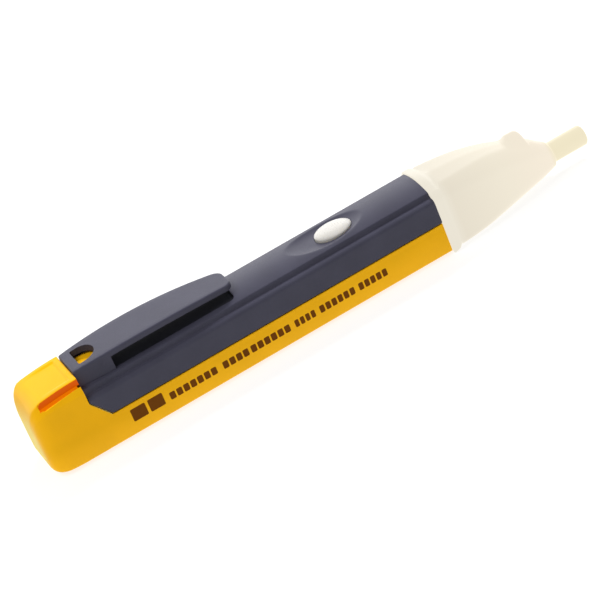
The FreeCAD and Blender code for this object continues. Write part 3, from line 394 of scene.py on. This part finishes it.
def column(name, outline, low, high):
    """An upright prism over an outline in the x-y plane."""
    return loft(name, [[Vector((along, across, up)) for along, across in outline] for up in (low, high)])


def block(name, low, high):
    """A box between two corners."""
    return column(name, [(low[0], low[1]), (high[0], low[1]), (high[0], high[1]), (low[0], high[1])],
                  low[2], high[2])


def oval(centre, half_length, half_width, count=72):
    turns = [math.tau * step / count for step in range(count)]
    return [(centre + half_length * math.cos(turn), half_width * math.sin(turn)) for turn in turns]


def apply_modifiers(piece):
    bpy.context.view_layer.update()
    graph = bpy.context.evaluated_depsgraph_get()
    mesh = bpy.data.meshes.new_from_object(piece.evaluated_get(graph))
    piece.modifiers.clear()
    old = piece.data
    piece.data = mesh
    piece.data.name = piece.name
    bpy.data.meshes.remove(old)


def combine(piece, tool, operation):
    """An exact UNION or DIFFERENCE with a tool, which is used up."""
    modifier = piece.modifiers.new("boolean", "BOOLEAN")
    modifier.operation = operation
    modifier.solver = "EXACT"
    modifier.object = tool
    apply_modifiers(piece)
    bpy.data.objects.remove(tool)


def clean(piece):
    """Merge doubled vertices and drop faces of no area that the booleans leave."""
    mesh = bmesh.new()
    mesh.from_mesh(piece.data)
    bmesh.ops.remove_doubles(mesh, verts=mesh.verts, dist=0.004 * MM)
    bmesh.ops.dissolve_degenerate(mesh, edges=mesh.edges, dist=0.003 * MM)
    loose = [vertex for vertex in mesh.verts if not vertex.link_faces]
    bmesh.ops.delete(mesh, geom=loose, context="VERTS")
    bmesh.ops.recalc_face_normals(mesh, faces=mesh.faces)
    mesh.to_mesh(piece.data)
    mesh.free()


def smooth(piece, angle=32):
    """Smooth shading that keeps edges sharper than the angle."""
    piece.data.polygons.foreach_set("use_smooth", [True] * len(piece.data.polygons))
    piece.data.set_sharp_from_angle(angle=math.radians(angle))


def finish_piece(piece, slot, *nodes):
    """Give a piece the material of the CAD slot it stands for, and hide the CAD nodes it replaces."""
    piece.data.materials.clear()
    piece.data.materials.append(MATERIALS[slot])
    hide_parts(*nodes)
    return piece


def inlay(piece, slot, chosen):
    """Give a second material to the faces that a test chooses."""
    piece.data.materials.append(MATERIALS[slot])
    for face in piece.data.polygons:
        if chosen(face):
            face.material_index = 1


# ---------------------------------------------------------------- casing

def millimetres(node):
    """The lowest and highest corner of a CAD node, in millimetres."""
    return [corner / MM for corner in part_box(node)]


CASING_LOW, CASING_HIGH = millimetres("upper_casing")
TRAY_LOW, TRAY_HIGH = millimetres("lower_tray")
NOSE_LOW, NOSE_HIGH = millimetres("nose_cone")
BLOCK_LOW, BLOCK_HIGH = millimetres("clip_root_block")
CLIP_HIGH = millimetres("pocket_clip")[1]
BUTTON_LOW, BUTTON_HIGH = millimetres("push_button")

ARCH_CREST = CASING_HIGH.z
ARCH_RADIUS = 22.0
BODY_HALF = CASING_HIGH.y
CASING_REAR = CASING_LOW.x
SEAM = CASING_LOW.z
KINK_RUN = 3.9
CEILING = 15.45
BRIDGE_FRONT = -52.4
BUTTON_PLACE = (BUTTON_LOW.x + BUTTON_HIGH.x) / 2
OUTSIDE = 12.0


def arch(across):
    """Height of the casing's top."""
    return ARCH_CREST - across ** 2 / (2 * ARCH_RADIUS)


def casing_half():
    """The casing's right side from the seam over the shoulder and the crease to the middle of the arch."""
    shoulder, shoulder_top, land, crease_end = 1.15, 15.2, 0.6, 6.45
    shoulder_across = BODY_HALF - shoulder
    points = [(BODY_HALF - 0.12, SEAM), (BODY_HALF, SEAM + 0.15), (BODY_HALF, 10.5), (BODY_HALF, 12.5)]
    points += [quarter((shoulder_across, shoulder_top - shoulder), shoulder, step, 7) for step in range(8)]
    points.append((shoulder_across - land / 2, shoulder_top))
    rise = arch(crease_end) - shoulder_top
    run = shoulder_across - land - crease_end
    slope = crease_end / ARCH_RADIUS * run
    for step in range(13):
        t = step / 12
        lift = rise * (3 * t ** 2 - 2 * t ** 3) + slope * (t ** 3 - t ** 2)
        points.append((shoulder_across - land - run * t, shoulder_top + lift))
    count = 21
    for step in range(1, count + 1):
        across = crease_end * (1 - step / count)
        points.append((across, arch(across)))
    return points


def scoop(along, across):
    """Depth of the finger scoop round the button."""
    centre, half_length, half_width, deepest = 6.7, 10.1, 5.2, 1.12
    reach = math.hypot((along - centre) / half_length, across / half_width)
    inside = 1 - reach ** 3
    return deepest * (math.hypot(inside, 0.05) + inside) / 2


def casing_section(along):
    """A section open at the bottom: walls with a rail groove inside, and the arched top with its scoop."""
    half = casing_half()
    outer = half + [(-across, up) for across, up in reversed(half[:-1])]
    outer = [(across, up - scoop(along, across) if up > CEILING else up) for across, up in outer]
    wall, groove_depth, groove_low, groove_high = 1.6, 0.75, 11.0, 12.3
    inner_half = BODY_HALF - wall
    groove_half = inner_half + groove_depth
    inner = [
        (inner_half, SEAM), (inner_half, groove_low), (groove_half, groove_low),
        (groove_half, groove_high), (inner_half, groove_high), (inner_half, 13.0), (5.7, CEILING),
    ]
    return section(along, outer + [(-across, up) for across, up in inner] + list(reversed(inner)))


RECESS_START, RECESS_END, RECESS_HALF = -51.0, -19.4, 5.1


def clip_recess():
    """A shallow field under the clip that follows the arch and is rounded off at its free end."""
    depth, corner = 0.75, 1.2
    side = [(RECESS_HALF, RECESS_START)]
    side += [quarter((RECESS_HALF - corner, RECESS_END - corner), corner, step, 3) for step in range(4)]
    rings = []
    for reach, along in side:
        floor = [reach * (2 * step / 16 - 1) for step in range(17)]
        outline = [(across, arch(across) - depth) for across in floor]
        rings.append(section(along, outline + [(reach, ARCH_CREST + 1), (-reach, ARCH_CREST + 1)]))
    return loft("clip_recess", rings)


def in_shaded_recess(face):
    """Whether a face of the casing belongs to the floor or the walls of the recess, which are painted darker
    as shade under the clip.
    """
    along, across, up = face.center / MM
    under_clip = RECESS_START < along < RECESS_END and abs(across) < RECESS_HALF
    return under_clip and CEILING + 0.3 < up < arch(across) - 0.1


def casing_neck(start, end):
    """The neck that the nose is pressed onto."""
    half, low, top, wall = 7.3, 12.7, 16.05, 1.2
    inner_half, inner_top = half - wall, top - wall
    outline = rounded([
        (half, low, 0), (half, top, 2.6), (-half, top, 2.6), (-half, low, 0),
        (-inner_half, low, 0), (-inner_half, inner_top, 0.5),
        (inner_half, inner_top, 0.5), (inner_half, low, 0),
    ], 4, 0)
    return loft("neck", [section(along, outline) for along in (start, end)])


def casing():
    """The grey upper shell, with finer rings where the scoop is."""
    front = NOSE_LOW.x
    fine_start, fine_end, fine_step = -4.5, 19.0, 0.35
    stations = [CASING_REAR + 3.5 * step for step in range(16)]
    steps = round((fine_end - fine_start) / fine_step)
    stations += [fine_start + fine_step * step for step in range(steps + 1)]
    stations += [21.0, 24.0, 27.0, 29.5, front - 0.12, front]
    shell = loft("casing_shell", [casing_section(along) for along in stations])

    below, above = CEILING - 1, ARCH_CREST + 1
    opening_half_length, opening_half_width = 4.87, 3.8
    opening = oval(BUTTON_PLACE, opening_half_length, opening_half_width)
    combine(shell, column("button_opening", opening, below, above), "DIFFERENCE")
    combine(shell, clip_recess(), "DIFFERENCE")
    bay_half = 4.6
    combine(shell, block("latch_bay", (CASING_REAR - 1, -bay_half, below), (BRIDGE_FRONT, bay_half, above)),
            "DIFFERENCE")
    kink = [(CASING_REAR - 1, SEAM - 1), (CASING_REAR + KINK_RUN, SEAM - 1), (CASING_REAR + KINK_RUN, SEAM),
            (CASING_REAR, 14.0), (CASING_REAR - 1, 14.0)]
    combine(shell, prism("rear_corner", kink, -OUTSIDE, OUTSIDE), "DIFFERENCE")
    combine(shell, casing_neck(front - 1, CASING_HIGH.x), "UNION")
    clean(shell)
    smooth(shell)
    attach(shell, "casing")
    finish_piece(shell, "casing_grey", "upper_casing")
    # The recess under the clip gets the darker grey: painted shade.
    inlay(shell, "recess_shade_grey", in_shaded_recess)


# ---------------------------------------------------------------- clip

CLIP_MIDDLE = -44.3
CLIP_TOP_RADIUS = 203
CLIP_SIDE_RADIUS = 165
CLIP_THICK = 1.5
CLIP_CORNER = 2.2


def clip_top(along):
    """The clip's top is a shallow bow over its length."""
    return CLIP_HIGH.z - (along - CLIP_MIDDLE) ** 2 / (2 * CLIP_TOP_RADIUS)


def clip_half_width(along):
    """Half the clip's width: bowed long sides and a rounded free end."""
    half = CLIP_HIGH.y - (along - CLIP_MIDDLE) ** 2 / (2 * CLIP_SIDE_RADIUS)
    past = along - (CLIP_HIGH.x - CLIP_CORNER)
    if past > 0:
        half -= CLIP_CORNER - math.sqrt(max(CLIP_CORNER ** 2 - past ** 2, 0))
    return half


def clip_plate_section(along, inset, thinner):
    """The plate's section, drawn in at its sides and made thinner from both faces."""
    half, top = clip_half_width(along), clip_top(along)
    middle = top - CLIP_THICK / 2
    shrink = 1 - thinner / (CLIP_THICK / 2)
    corners = mirrored([(half, top - CLIP_THICK, 0.3), (half, top, 0.5)])
    return [Vector((point.x, point.y - math.copysign(inset, point.y), middle + (point.z - middle) * shrink))
            for point in section(along, rounded(corners, 5, 8))]


def clip_plate():
    """Bridge and arm in one bowed plate, with its rear edge eased and its free end rounded."""
    rear, end, rounding = BLOCK_LOW.x, CLIP_HIGH.x, 0.45
    rings = [clip_plate_section(rear + 0.02, 0.25, 0.25), clip_plate_section(rear + 0.12, 0.08, 0.08)]
    stations = [rear + 0.4 + 1.35 * step for step in range(30)]
    stations = [along for along in stations if along < end - CLIP_CORNER]
    stations += [end - CLIP_CORNER + CLIP_CORNER * math.sin(math.radians(9 * step)) for step in range(11)]
    for along in stations:
        past = max(along - (end - rounding), 0) / rounding
        rings.append(clip_plate_section(along, 0, rounding * (1 - math.sqrt(max(1 - past ** 2, 0)))))
    return loft("clip_moulding", rings)


def clip_legs():
    """The block between the plate and the casing's top, before the tunnel is cut."""
    rear, front = BLOCK_LOW.x, BLOCK_HIGH.x
    ends = rear + 0.035, front
    rings = []
    for along in (ends[0], rear + 0.1, rear + 2.5, rear + 5, front - 0.1, ends[1]):
        half = clip_half_width(along) - (0.08 if along in ends else 0.005)
        top = clip_top(along) - 0.6
        seat = [half * (2 * step / 8 - 1) for step in range(9)]
        outline = [(half, arch(half)), (half, top), (-half, top)]
        rings.append(section(along, outline + [(across, arch(across)) for across in seat[:-1]]))
    return loft("root_block", rings)


def clip():
    """Root block and sprung arm in one moulding, drawn at rest; the real arm flexes where it leaves the
    block.
    """
    arm = clip_plate()
    combine(arm, clip_legs(), "UNION")
    tunnel_half, bridge_low = 4.5, 19.75
    tunnel_start = BLOCK_LOW.x - 1
    combine(arm, block("tunnel", (tunnel_start, -tunnel_half, 10), (BRIDGE_FRONT, tunnel_half, bridge_low)),
            "DIFFERENCE")
    flat, straight, half, corner = -58.1, 1.6, 3.45, 0.3
    turns = [math.radians(-90 + 180 * step / 24) for step in range(25)]
    hole = [(flat + straight + half * math.cos(turn), half * math.sin(turn)) for turn in turns]
    hole += [(flat + corner, half), (flat, half - corner), (flat, corner - half), (flat + corner, -half)]
    combine(arm, column("d_hole", hole, bridge_low - 1, CLIP_HIGH.z + 1), "DIFFERENCE")
    clean(arm)
    smooth(arm, 40)
    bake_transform(arm)
    finish_piece(arm, "casing_grey", "clip_root_block", "pocket_clip")


# ---------------------------------------------------------------- tray, tail and latch

SEAM_REAR = CASING_REAR - 0.2
TRAY_BOTTOM = TRAY_LOW.z
TRAY_EDGE = SEAM - 0.28
TRAY_CORNER = 0.9
TRAY_LEAN = 0.2
EASED = 0.12
CELL_HALF = 5.6
CELL_FLOOR = 1.75
CELL_CORNER = 2.5
ROOT = -71.3
SLOT_WALL = 0.75
SLOT_FLOOR = 16.2
CAP_START = -69.8
CAP_CROWN = TRAY_LOW.x + 0.2
CAP_WAIST = 6.2
CAP_END_POWER = 1.83


def tail_top(along):
    """The tail's top falls off towards its end."""
    front_height, fall = 20.22, 0.0079
    return front_height - fall * max(SEAM_REAR - along, 0) ** 2


def tail_outline(along):
    """The tail's section: leaning sides, a narrower top, and a bottom that rises towards the end."""
    rise_start, rise = -66.5, 0.014
    side_top, side_corner, top_half, top_corner = 17.0, 1.2, 7.2, 1.0
    bottom = TRAY_BOTTOM + rise * max(rise_start - along, 0) ** 2
    corners = mirrored([
        (BODY_HALF - TRAY_LEAN, bottom, TRAY_CORNER),
        (BODY_HALF, TRAY_EDGE - EASED, 0),
        (BODY_HALF, side_top, side_corner),
        (top_half, tail_top(along), top_corner),
    ])
    return rounded(corners, 6, 4)


def cap_power(across, up):
    """How boxy the rounded end is at a point of the section."""
    side_power, top_power, bottom_power, height = 6.9, 4.3, 6.5, 10.5
    side = (across / BODY_HALF) ** 2
    above = (max(up - CAP_WAIST, 0) / height) ** 2
    below = (max(CAP_WAIST - up, 0) / height) ** 2
    return (side_power * side + top_power * above + bottom_power * below) / (side + above + below)


def tail_cap():
    """The rounded rear end: the section shrinks onto the crown, boxier at the sides than at the top."""
    rings = []
    for step in range(26):
        scale = math.cos(math.radians(90 * step / 26))
        ring = []
        for across, up in tail_outline(CAP_START):
            depth = (1 - scale ** cap_power(across, up)) ** (1 / CAP_END_POWER)
            ring.append(Vector((CAP_START + (CAP_CROWN - CAP_START) * depth, across * scale,
                                CAP_WAIST + (up - CAP_WAIST) * scale)))
        rings.append(ring)
    rings.append([Vector((CAP_CROWN, 0, CAP_WAIST))])
    return rings


def tongue_top(along, across=0.0):
    """The tongue is flush with the tail's top and with the top of its rounded end."""
    top = tail_top(max(along, CAP_START))
    depth = max((along - CAP_START) / (CAP_CROWN - CAP_START), 0)
    scale = (1 - depth ** CAP_END_POWER) ** (1 / cap_power(across, top))
    return CAP_WAIST + (top - CAP_WAIST) * scale


def tray_section(along, inset=0.0):
    """The trough with a rail along each side; its hidden end inside the tail is drawn in a little."""
    web, rail, rail_low, rail_high, top = 6.9, 7.6, 11.2, 12.1, 12.4
    half = [
        (BODY_HALF - TRAY_LEAN - inset, TRAY_BOTTOM + inset, TRAY_CORNER),
        (BODY_HALF - inset, TRAY_EDGE - EASED, 0), (BODY_HALF - EASED, TRAY_EDGE, 0),
        (web, TRAY_EDGE, 0), (web, rail_low, 0), (rail, rail_low, 0), (rail, rail_high, 0),
        (web, rail_high, 0), (web, top, 0), (CELL_HALF, top, 0), (CELL_HALF, CELL_FLOOR, CELL_CORNER),
    ]
    return section(along, rounded(mirrored(half), 6, 1))


def tail():
    """The tail with the end of the cells' space, the tongue's space and its slots."""
    stations = [SEAM_REAR - 1.2 * step for step in range(8)]
    body = loft("battery_tray", [section(along, tail_outline(along)) for along in stations] + tail_cap())
    cell_space = rounded(mirrored([(CELL_HALF, CELL_FLOOR, CELL_CORNER), (CELL_HALF, 14.2, 1.0)]), 6, 2)
    cut_end, cut_top, cut_half = SEAM_REAR + 1, 25, BODY_HALF - SLOT_WALL
    combine(body, loft("cell_space", [section(along, cell_space) for along in (-72.0, cut_end)]),
            "DIFFERENCE")
    combine(body, block("latch_space", (ROOT, -cut_half, SLOT_FLOOR), (cut_end, cut_half, cut_top)),
            "DIFFERENCE")
    corner, lip_rear, lip_front = 1.1, 18.75, 18.8
    lips = [(cut_end, lip_front), (cut_end, cut_top), (ROOT, cut_top)]
    for step in range(7):
        along, up = quarter((0, 0), corner, step, 6)
        lips.append((ROOT + corner - along, lip_rear - up))
    combine(body, prism("slot_lips", lips, -OUTSIDE, OUTSIDE), "DIFFERENCE")
    return body


def in_shaded_slot(face):
    """Whether a face of the tray lies in the space round the tongue, which is painted deep orange as shade.
    """
    along, across, up = face.center / MM
    inside = ROOT - 0.01 < along < SEAM_REAR and abs(across) < BODY_HALF - SLOT_WALL + 0.01
    return inside and up > SLOT_FLOOR - 0.1


def tray():
    """Tail, gussets behind the casing's slanted corners, and the trough for the cells."""
    body = tail()
    start = SEAM_REAR - 0.5
    foot, top = TRAY_EDGE - EASED - 0.02, 13.78
    kink = [(start, foot), (SEAM_REAR + KINK_RUN, foot), (SEAM_REAR + KINK_RUN - 0.05, TRAY_EDGE),
            (SEAM_REAR - 0.02, top), (start, top)]
    for side in (1, -1):
        ends = sorted((side * 6.8, side * (BODY_HALF - 0.002)))
        combine(body, prism("gusset", kink, *ends), "UNION")
    stations = [-56 + 4.4 * step for step in range(20)] + [TRAY_HIGH.x + 0.2]
    trough = loft("trough", [tray_section(start, 0.01)] + [tray_section(along) for along in stations])
    combine(body, trough, "UNION")
    clean(body)
    smooth(body, 30)
    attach(body, "tray")
    finish_piece(body, "tray_yellow", "lower_tray")
    # The faces round the tongue get the deep orange: painted shade.
    inlay(body, "slot_shade_orange", in_shaded_slot)


TONGUE_HALF = 6.8
TONGUE_FRONT = SEAM_REAR + 0.08


def tongue_dip(along, across):
    """Depth of the shallow thumb rest, which leaves a margin round it and fades out towards the root."""
    margin, deepest, edge = 1.3, 0.3, 0.45
    inside = min(TONGUE_HALF - margin - abs(across), TONGUE_FRONT - margin - along, along - ROOT - 0.4)
    return deepest * ease(inside / edge) * min(max((along - ROOT - 1.5) / 5, 0), 1)


def shaded_under_tongue(face):
    """Whether a face of the tongue is its underside or a side that faces the slot, which are painted deep
    orange as shade.
    """
    along, across, up = face.center / MM
    corner = max(0.9 - (along - ROOT), 0) ** 2
    beside = abs(across) > TONGUE_HALF - 0.2 and up < tongue_top(along, across) - 0.15 - corner
    return along < TONGUE_FRONT - 0.05 and (beside or face.normal.z < -0.3)


def tongue():
    """The thumb latch: it grows out of the tail's end, bends there, and reaches under the clip's bridge."""
    thick, steps = 1.8, 44
    rings = []
    for step in range(steps + 1):
        along = ROOT + (TONGUE_FRONT - ROOT) * step / steps
        top = tongue_top(along)
        corners = mirrored([(TONGUE_HALF, top - thick, 0.3), (TONGUE_HALF, top, 0.35)])
        ring = []
        for across, up in rounded(corners, 5, 40):
            up += tongue_top(along, across) - top
            if up > tongue_top(along, across) - 0.05:
                up -= tongue_dip(along, across)
            ring.append(Vector((along, across, up)))
        rings.append(ring)
    latch = loft("thumb_latch", rings)
    tip_half, tip_low, tip_high, tip_end = 4.1, 17.9, 18.95, -52.8
    combine(latch, block("latch_tip", (TONGUE_FRONT - 2, -tip_half, tip_low), (tip_end, tip_half, tip_high)),
            "UNION")
    clean(latch)
    smooth(latch, 40)
    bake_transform(latch)
    finish_piece(latch, "tray_yellow", "tray_latch")
    # The tongue's underside and slot-facing sides get the deep orange: painted shade.
    inlay(latch, "slot_shade_orange", shaded_under_tongue)


# ---------------------------------------------------------------- nose and button

TIP_AXIS = 5.4
TIP_RADIUS = 2.56

# Place, half width, bottom and top of the nose's skin, from the collar to its front end.
NOSE_SKIN = [
    (34.9, 8.65, 0.2, 17.05), (38.7, 8.4, 0.2, 16.85), (42.7, 8.1, 0.25, 16.6), (46.7, 7.55, 0.42, 16.1),
    (50.7, 6.85, 0.62, 15.3), (54.7, 5.95, 0.85, 14.05), (58.7, 4.95, 1.2, 12.6), (60.5, 4.45, 1.4, 11.75),
    (61.7, 4.1, 1.6, 10.95), (63.7, 3.45, 2.0, 9.3), (65.0, 2.95, 2.3, 8.35),
]


def nose_size(along):
    """Half width, bottom and top of the skin at a place, by a smooth curve through its stations."""
    index = max(i for i, station in enumerate(NOSE_SKIN[:-1]) if station[0] <= along + 1e-6)
    near, far = NOSE_SKIN[index], NOSE_SKIN[index + 1]
    before, after = NOSE_SKIN[max(index - 1, 0)], NOSE_SKIN[min(index + 2, len(NOSE_SKIN) - 1)]
    run = far[0] - near[0]
    t = (along - near[0]) / run
    values = []
    for kind in (1, 2, 3):
        slope_near = (far[kind] - before[kind]) / (far[0] - before[0]) * run
        slope_far = (after[kind] - near[kind]) / (after[0] - near[0]) * run
        values.append((2 * t ** 3 - 3 * t ** 2 + 1) * near[kind] + (t ** 3 - 2 * t ** 2 + t) * slope_near
                      + (3 * t ** 2 - 2 * t ** 3) * far[kind] + (t ** 3 - t ** 2) * slope_far)
    return values


def nose_outline(half, bottom, top, lower=0.36, upper=0.5, peak=0.3, crest=1.2):
    """A rounded section with a slightly arched top; its radii are shares of the half width."""
    lower_radius = lower * half
    upper_radius = upper * half
    corners = [
        (half, bottom, lower_radius), (half, top - peak, upper_radius), (0, top + peak, half * crest),
        (-half, top - peak, upper_radius), (-half, bottom, lower_radius),
    ]
    return rounded(corners, 14, 9)


def tip_ring(along, radius):
    """A circle whose points follow on from those of the nose's outlines."""
    centre = Vector((0, TIP_AXIS))
    outline = nose_outline(radius, centre.y - radius, centre.y + radius, 0.9, 0.9, 0.05)
    return section(along, [centre + (point - centre).normalized() * radius for point in outline])


def bead(along, across, skin_top):
    """How far the bead lifts the nose's top: a level crest that grows out of the slope and drops in front."""
    rear, level_rear, level_front, front = 54.4, 56.2, 58.0, 60.3
    crest, foot, half_width = 15.45, 11.6, 3.5
    if not rear < along < front or abs(across) >= half_width:
        return 0.0
    top = crest
    if along > level_front:
        top = foot + (crest - foot) * math.sqrt(1 - ((along - level_front) / (front - level_front)) ** 2)
    lift = max(top - skin_top, 0) * ease((along - rear) / (level_rear - rear))
    return lift * (1 - (across / half_width) ** 2) ** 2


def nose_inside():
    """The hollow's rings, from its closed front end back to the mouth over the casing's neck."""
    wall, axis = 1.3, Vector((0, 6))
    rings = [[Vector((59.5, *axis))]]
    for along in (59.4, 58.7, 56, 53, 50, 47, 44, 41, 38, 35.2):
        half, low, high = nose_size(along)
        outline = nose_outline(half - wall, low + wall, high - wall)
        share = 0.45 if along == 59.4 else 1.0
        rings.append(section(along, [axis.lerp(point, share) for point in outline]))
    mouth_half, mouth_low, mouth_top = 7.45, 1.75, 16.0
    mouth = nose_outline(mouth_half, mouth_low, mouth_top, 0.22, 0.2, 0.1)
    return rings + [section(along, mouth) for along in (34.4, 33, NOSE_LOW.x)]


def nose_collar():
    """The collar's rings, by offset from its rear face, depth drawn in and radius share below."""
    half, bottom, top = NOSE_HIGH.y, NOSE_LOW.z, NOSE_HIGH.z - 0.475
    upper, peak, crest = 0.27, 1.075, 2.0
    profile = ((0, 0.35, 0.08), (0.06, 0.17, 0.07), (0.22, 0.03, 0.06), (0.45, 0, 0.06), (1.2, 0, 0.09),
               (1.8, 0.03, 0.12), (2.2, 0.13, 0.16), (2.5, 0.26, 0.19), (2.8, 0.4, 0.21))
    rings = []
    for offset, inset, lower in profile:
        outline = nose_outline(half - inset, bottom + inset, top - inset, lower, upper, peak, crest)
        rings.append(section(NOSE_LOW.x + offset, outline))
    return rings


def nose_skin():
    """The tapering skin's rings with the bead; its corners grow rounder towards the tip."""
    stations = [NOSE_SKIN[0][0] + 0.15 + 1.1 * step for step in range(17)]
    stations += [53.9 + 0.3 * step for step in range(18)]
    stations += [59.25 + 0.125 * step for step in range(13)]
    stations += [61.2, 61.8, 62.5, 63.3, 64.0, 64.6, 64.9]
    rings = []
    for along in stations:
        half, low, high = nose_size(along)
        lower = 0.22 + 0.6 * ease((along - 34) / 31)
        upper = 0.4 + 0.46 * ease((along - 34) / 30)
        outline = nose_outline(half, low, high, lower, upper)
        rings.append(section(along, [(across, up + (bead(along, across, high) if up > 8 else 0.0))
                                     for across, up in outline]))
    return rings


def nose_tip():
    """The round sensing tip: a fillet at its foot, a straight run and a rounded end."""
    rounding, end = 0.9, NOSE_HIGH.x
    foot = ((65.12, 0.32), (65.25, 0.14), (65.4, 0.03), (65.6, 0), (68, 0), (71, 0))
    rings = [tip_ring(along, TIP_RADIUS + more) for along, more in foot]
    for step in range(10):
        radius, along = quarter((TIP_RADIUS - rounding, end - rounding), rounding, step, 9)
        rings.append(tip_ring(along, radius))
    rings += [tip_ring(end, share * (TIP_RADIUS - rounding)) for share in (0.66, 0.33)]
    return rings + [[Vector((end, 0, TIP_AXIS))]]


def nose():
    """The translucent nose in one closed skin, from inside the hollow over the collar to the tip."""
    cone = loft("sensing_nose", nose_inside() + nose_collar() + nose_skin() + nose_tip())
    smooth(cone, 45)
    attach(cone, "casing")
    # The nose's whiteness is painted light: an emitted glow, not light through the skin.
    finish_piece(cone, "nose_white", "nose_cone")


def button_ring(reach, up, scale=1.0):
    """An oval ring of the button, wider than its stem by reach."""
    half_length, half_width = 4.75, 3.62
    outline = oval(BUTTON_PLACE, (half_length + reach) * scale, (half_width + reach) * scale)
    return [Vector((along, across, up)) for along, across in outline]


def button():
    """The oval cap: flange, stem and a dome whose rim is rounded."""
    low, top, rim = BUTTON_LOW.z, BUTTON_HIGH.z + 0.6, 16.75
    flange, flange_thick = 0.65, 0.4
    rings = [[Vector((BUTTON_PLACE, 0, low))], button_ring(flange, low, 0.5)]
    rings += [button_ring(reach, up) for reach, up in (
        (flange, low), (flange, low + flange_thick), (0.0, low + flange_thick), (0.0, rim - 0.3), (0.0, rim))]
    for step in range(1, 16):
        scale = math.cos(math.radians(90 * step / 16))
        rings.append(button_ring(0.0, rim + (top - rim) * (1 - scale ** 2.3) ** (1 / 1.9), scale))
    rings.append([Vector((BUTTON_PLACE, 0, top))])
    cap = loft("button_cap", rings)
    smooth(cap, 50)
    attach(cap, "button")
    finish_piece(cap, "button_white", "push_button")


# ---------------------------------------------------------------- cells

def cell(node):
    """A cell with crimped ends, a dark jacket and one plain bright band."""
    low, high = millimetres(node)
    radius, height = (high.y - low.y) / 2, (high.z + low.z) / 2
    foot, button_top, band = low.x + 0.35, high.x - 0.02, high.x - 9
    profile = [
        (foot, 0.55), (foot, 0.86), (low.x, 0.90), (low.x, 0.95), (foot, 0.995),
        (low.x + 0.9, 1.0), (low.x + 1.0, 0.985), (low.x + 1.3, 0.985), (low.x + 1.4, 1.0),
        (band, 1.0), (band + 0.1, 1.004), (band + 0.9, 1.004), (band + 1.0, 1.0),
        (high.x - 1.0, 1.0), (high.x - 0.9, 0.985), (high.x - 0.7, 0.985), (high.x - 0.6, 1.0),
        (high.x - 0.3, 0.985), (high.x - 0.05, 0.93), (high.x, 0.88), (high.x - 0.25, 0.82),
        (high.x - 0.25, 0.5), (button_top, 0.42),
    ]
    turns = [math.tau * step / 64 for step in range(64)]
    circle = [Vector((0, radius * math.cos(turn), radius * math.sin(turn))) for turn in turns]
    rings = [[Vector((foot, 0, height))]]
    rings += [[Vector((along, 0, height)) + share * point for point in circle] for along, share in profile]
    rings.append([Vector((button_top, 0, height))])
    piece = loft(node.replace("battery", "cell"), rings)
    smooth(piece, 50)
    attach(piece, "tray")
    finish_piece(piece, "cell_jacket", node)

    def bright(face):
        along, across, up = face.center / MM
        return band < along < band + 1 or math.hypot(across, up - height) < 0.9 * radius

    inlay(piece, "cell_terminal", bright)


# ---------------------------------------------------------------- print on the tray

def print_marks():
    """Place, length, middle height and height of each block: two square marks, then six rows."""
    gap = 0.4
    marks = [(-53.1, 3.8, 5.5, 3.3), (-48.6, 3.8, 5.5, 3.3)]
    for start, end, count in ((-43.3, -30.9, 7), (-29.2, -22.4, 4), (-21.7, -11.3, 6), (-9.9, -4.5, 4),
                              (-3.2, 6.2, 6), (7.4, 15.0, 5)):
        pitch = (end - start + gap) / count
        marks += [(start + pitch * number, pitch - gap, 4.95, 1.95) for number in range(count)]
    return marks


def print_row():
    """Plain blocks on the tray's leaning side where it carries its print, with no lettering."""
    skin, corner = 0.02, 0.3
    mesh = bmesh.new()
    for low, length, middle, tall in print_marks():
        high, bottom, top = low + length, middle - tall / 2, middle + tall / 2
        outline = rounded([(low, bottom, corner), (high, bottom, corner), (high, top, corner),
                           (low, top, corner)], 4, 0)
        rows = []
        for lift in (-skin, skin):
            row = []
            for along, up in outline:
                lean = TRAY_LEAN * (up - TRAY_BOTTOM) / (TRAY_EDGE - EASED - TRAY_BOTTOM)
                row.append(mesh.verts.new(Vector((along, -(BODY_HALF - TRAY_LEAN + lean) - lift, up)) * MM))
            rows.append(row)
        inner, outer = rows
        for index, corner_point in enumerate(outer):
            after = (index + 1) % len(outer)
            mesh.faces.new((inner[index], inner[after], outer[after], corner_point))
        mesh.faces.new(inner)
        mesh.faces.new(outer)
    blocks = new_piece("print_blocks", mesh)
    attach(blocks, "tray")
    blocks.data.materials.append(MATERIALS["print_brown"])


make_studio()
dress_nodes()
casing()
clip()
tray()
tongue()
nose()
button()
cell("battery_rear")
cell("battery_front")
print_row()
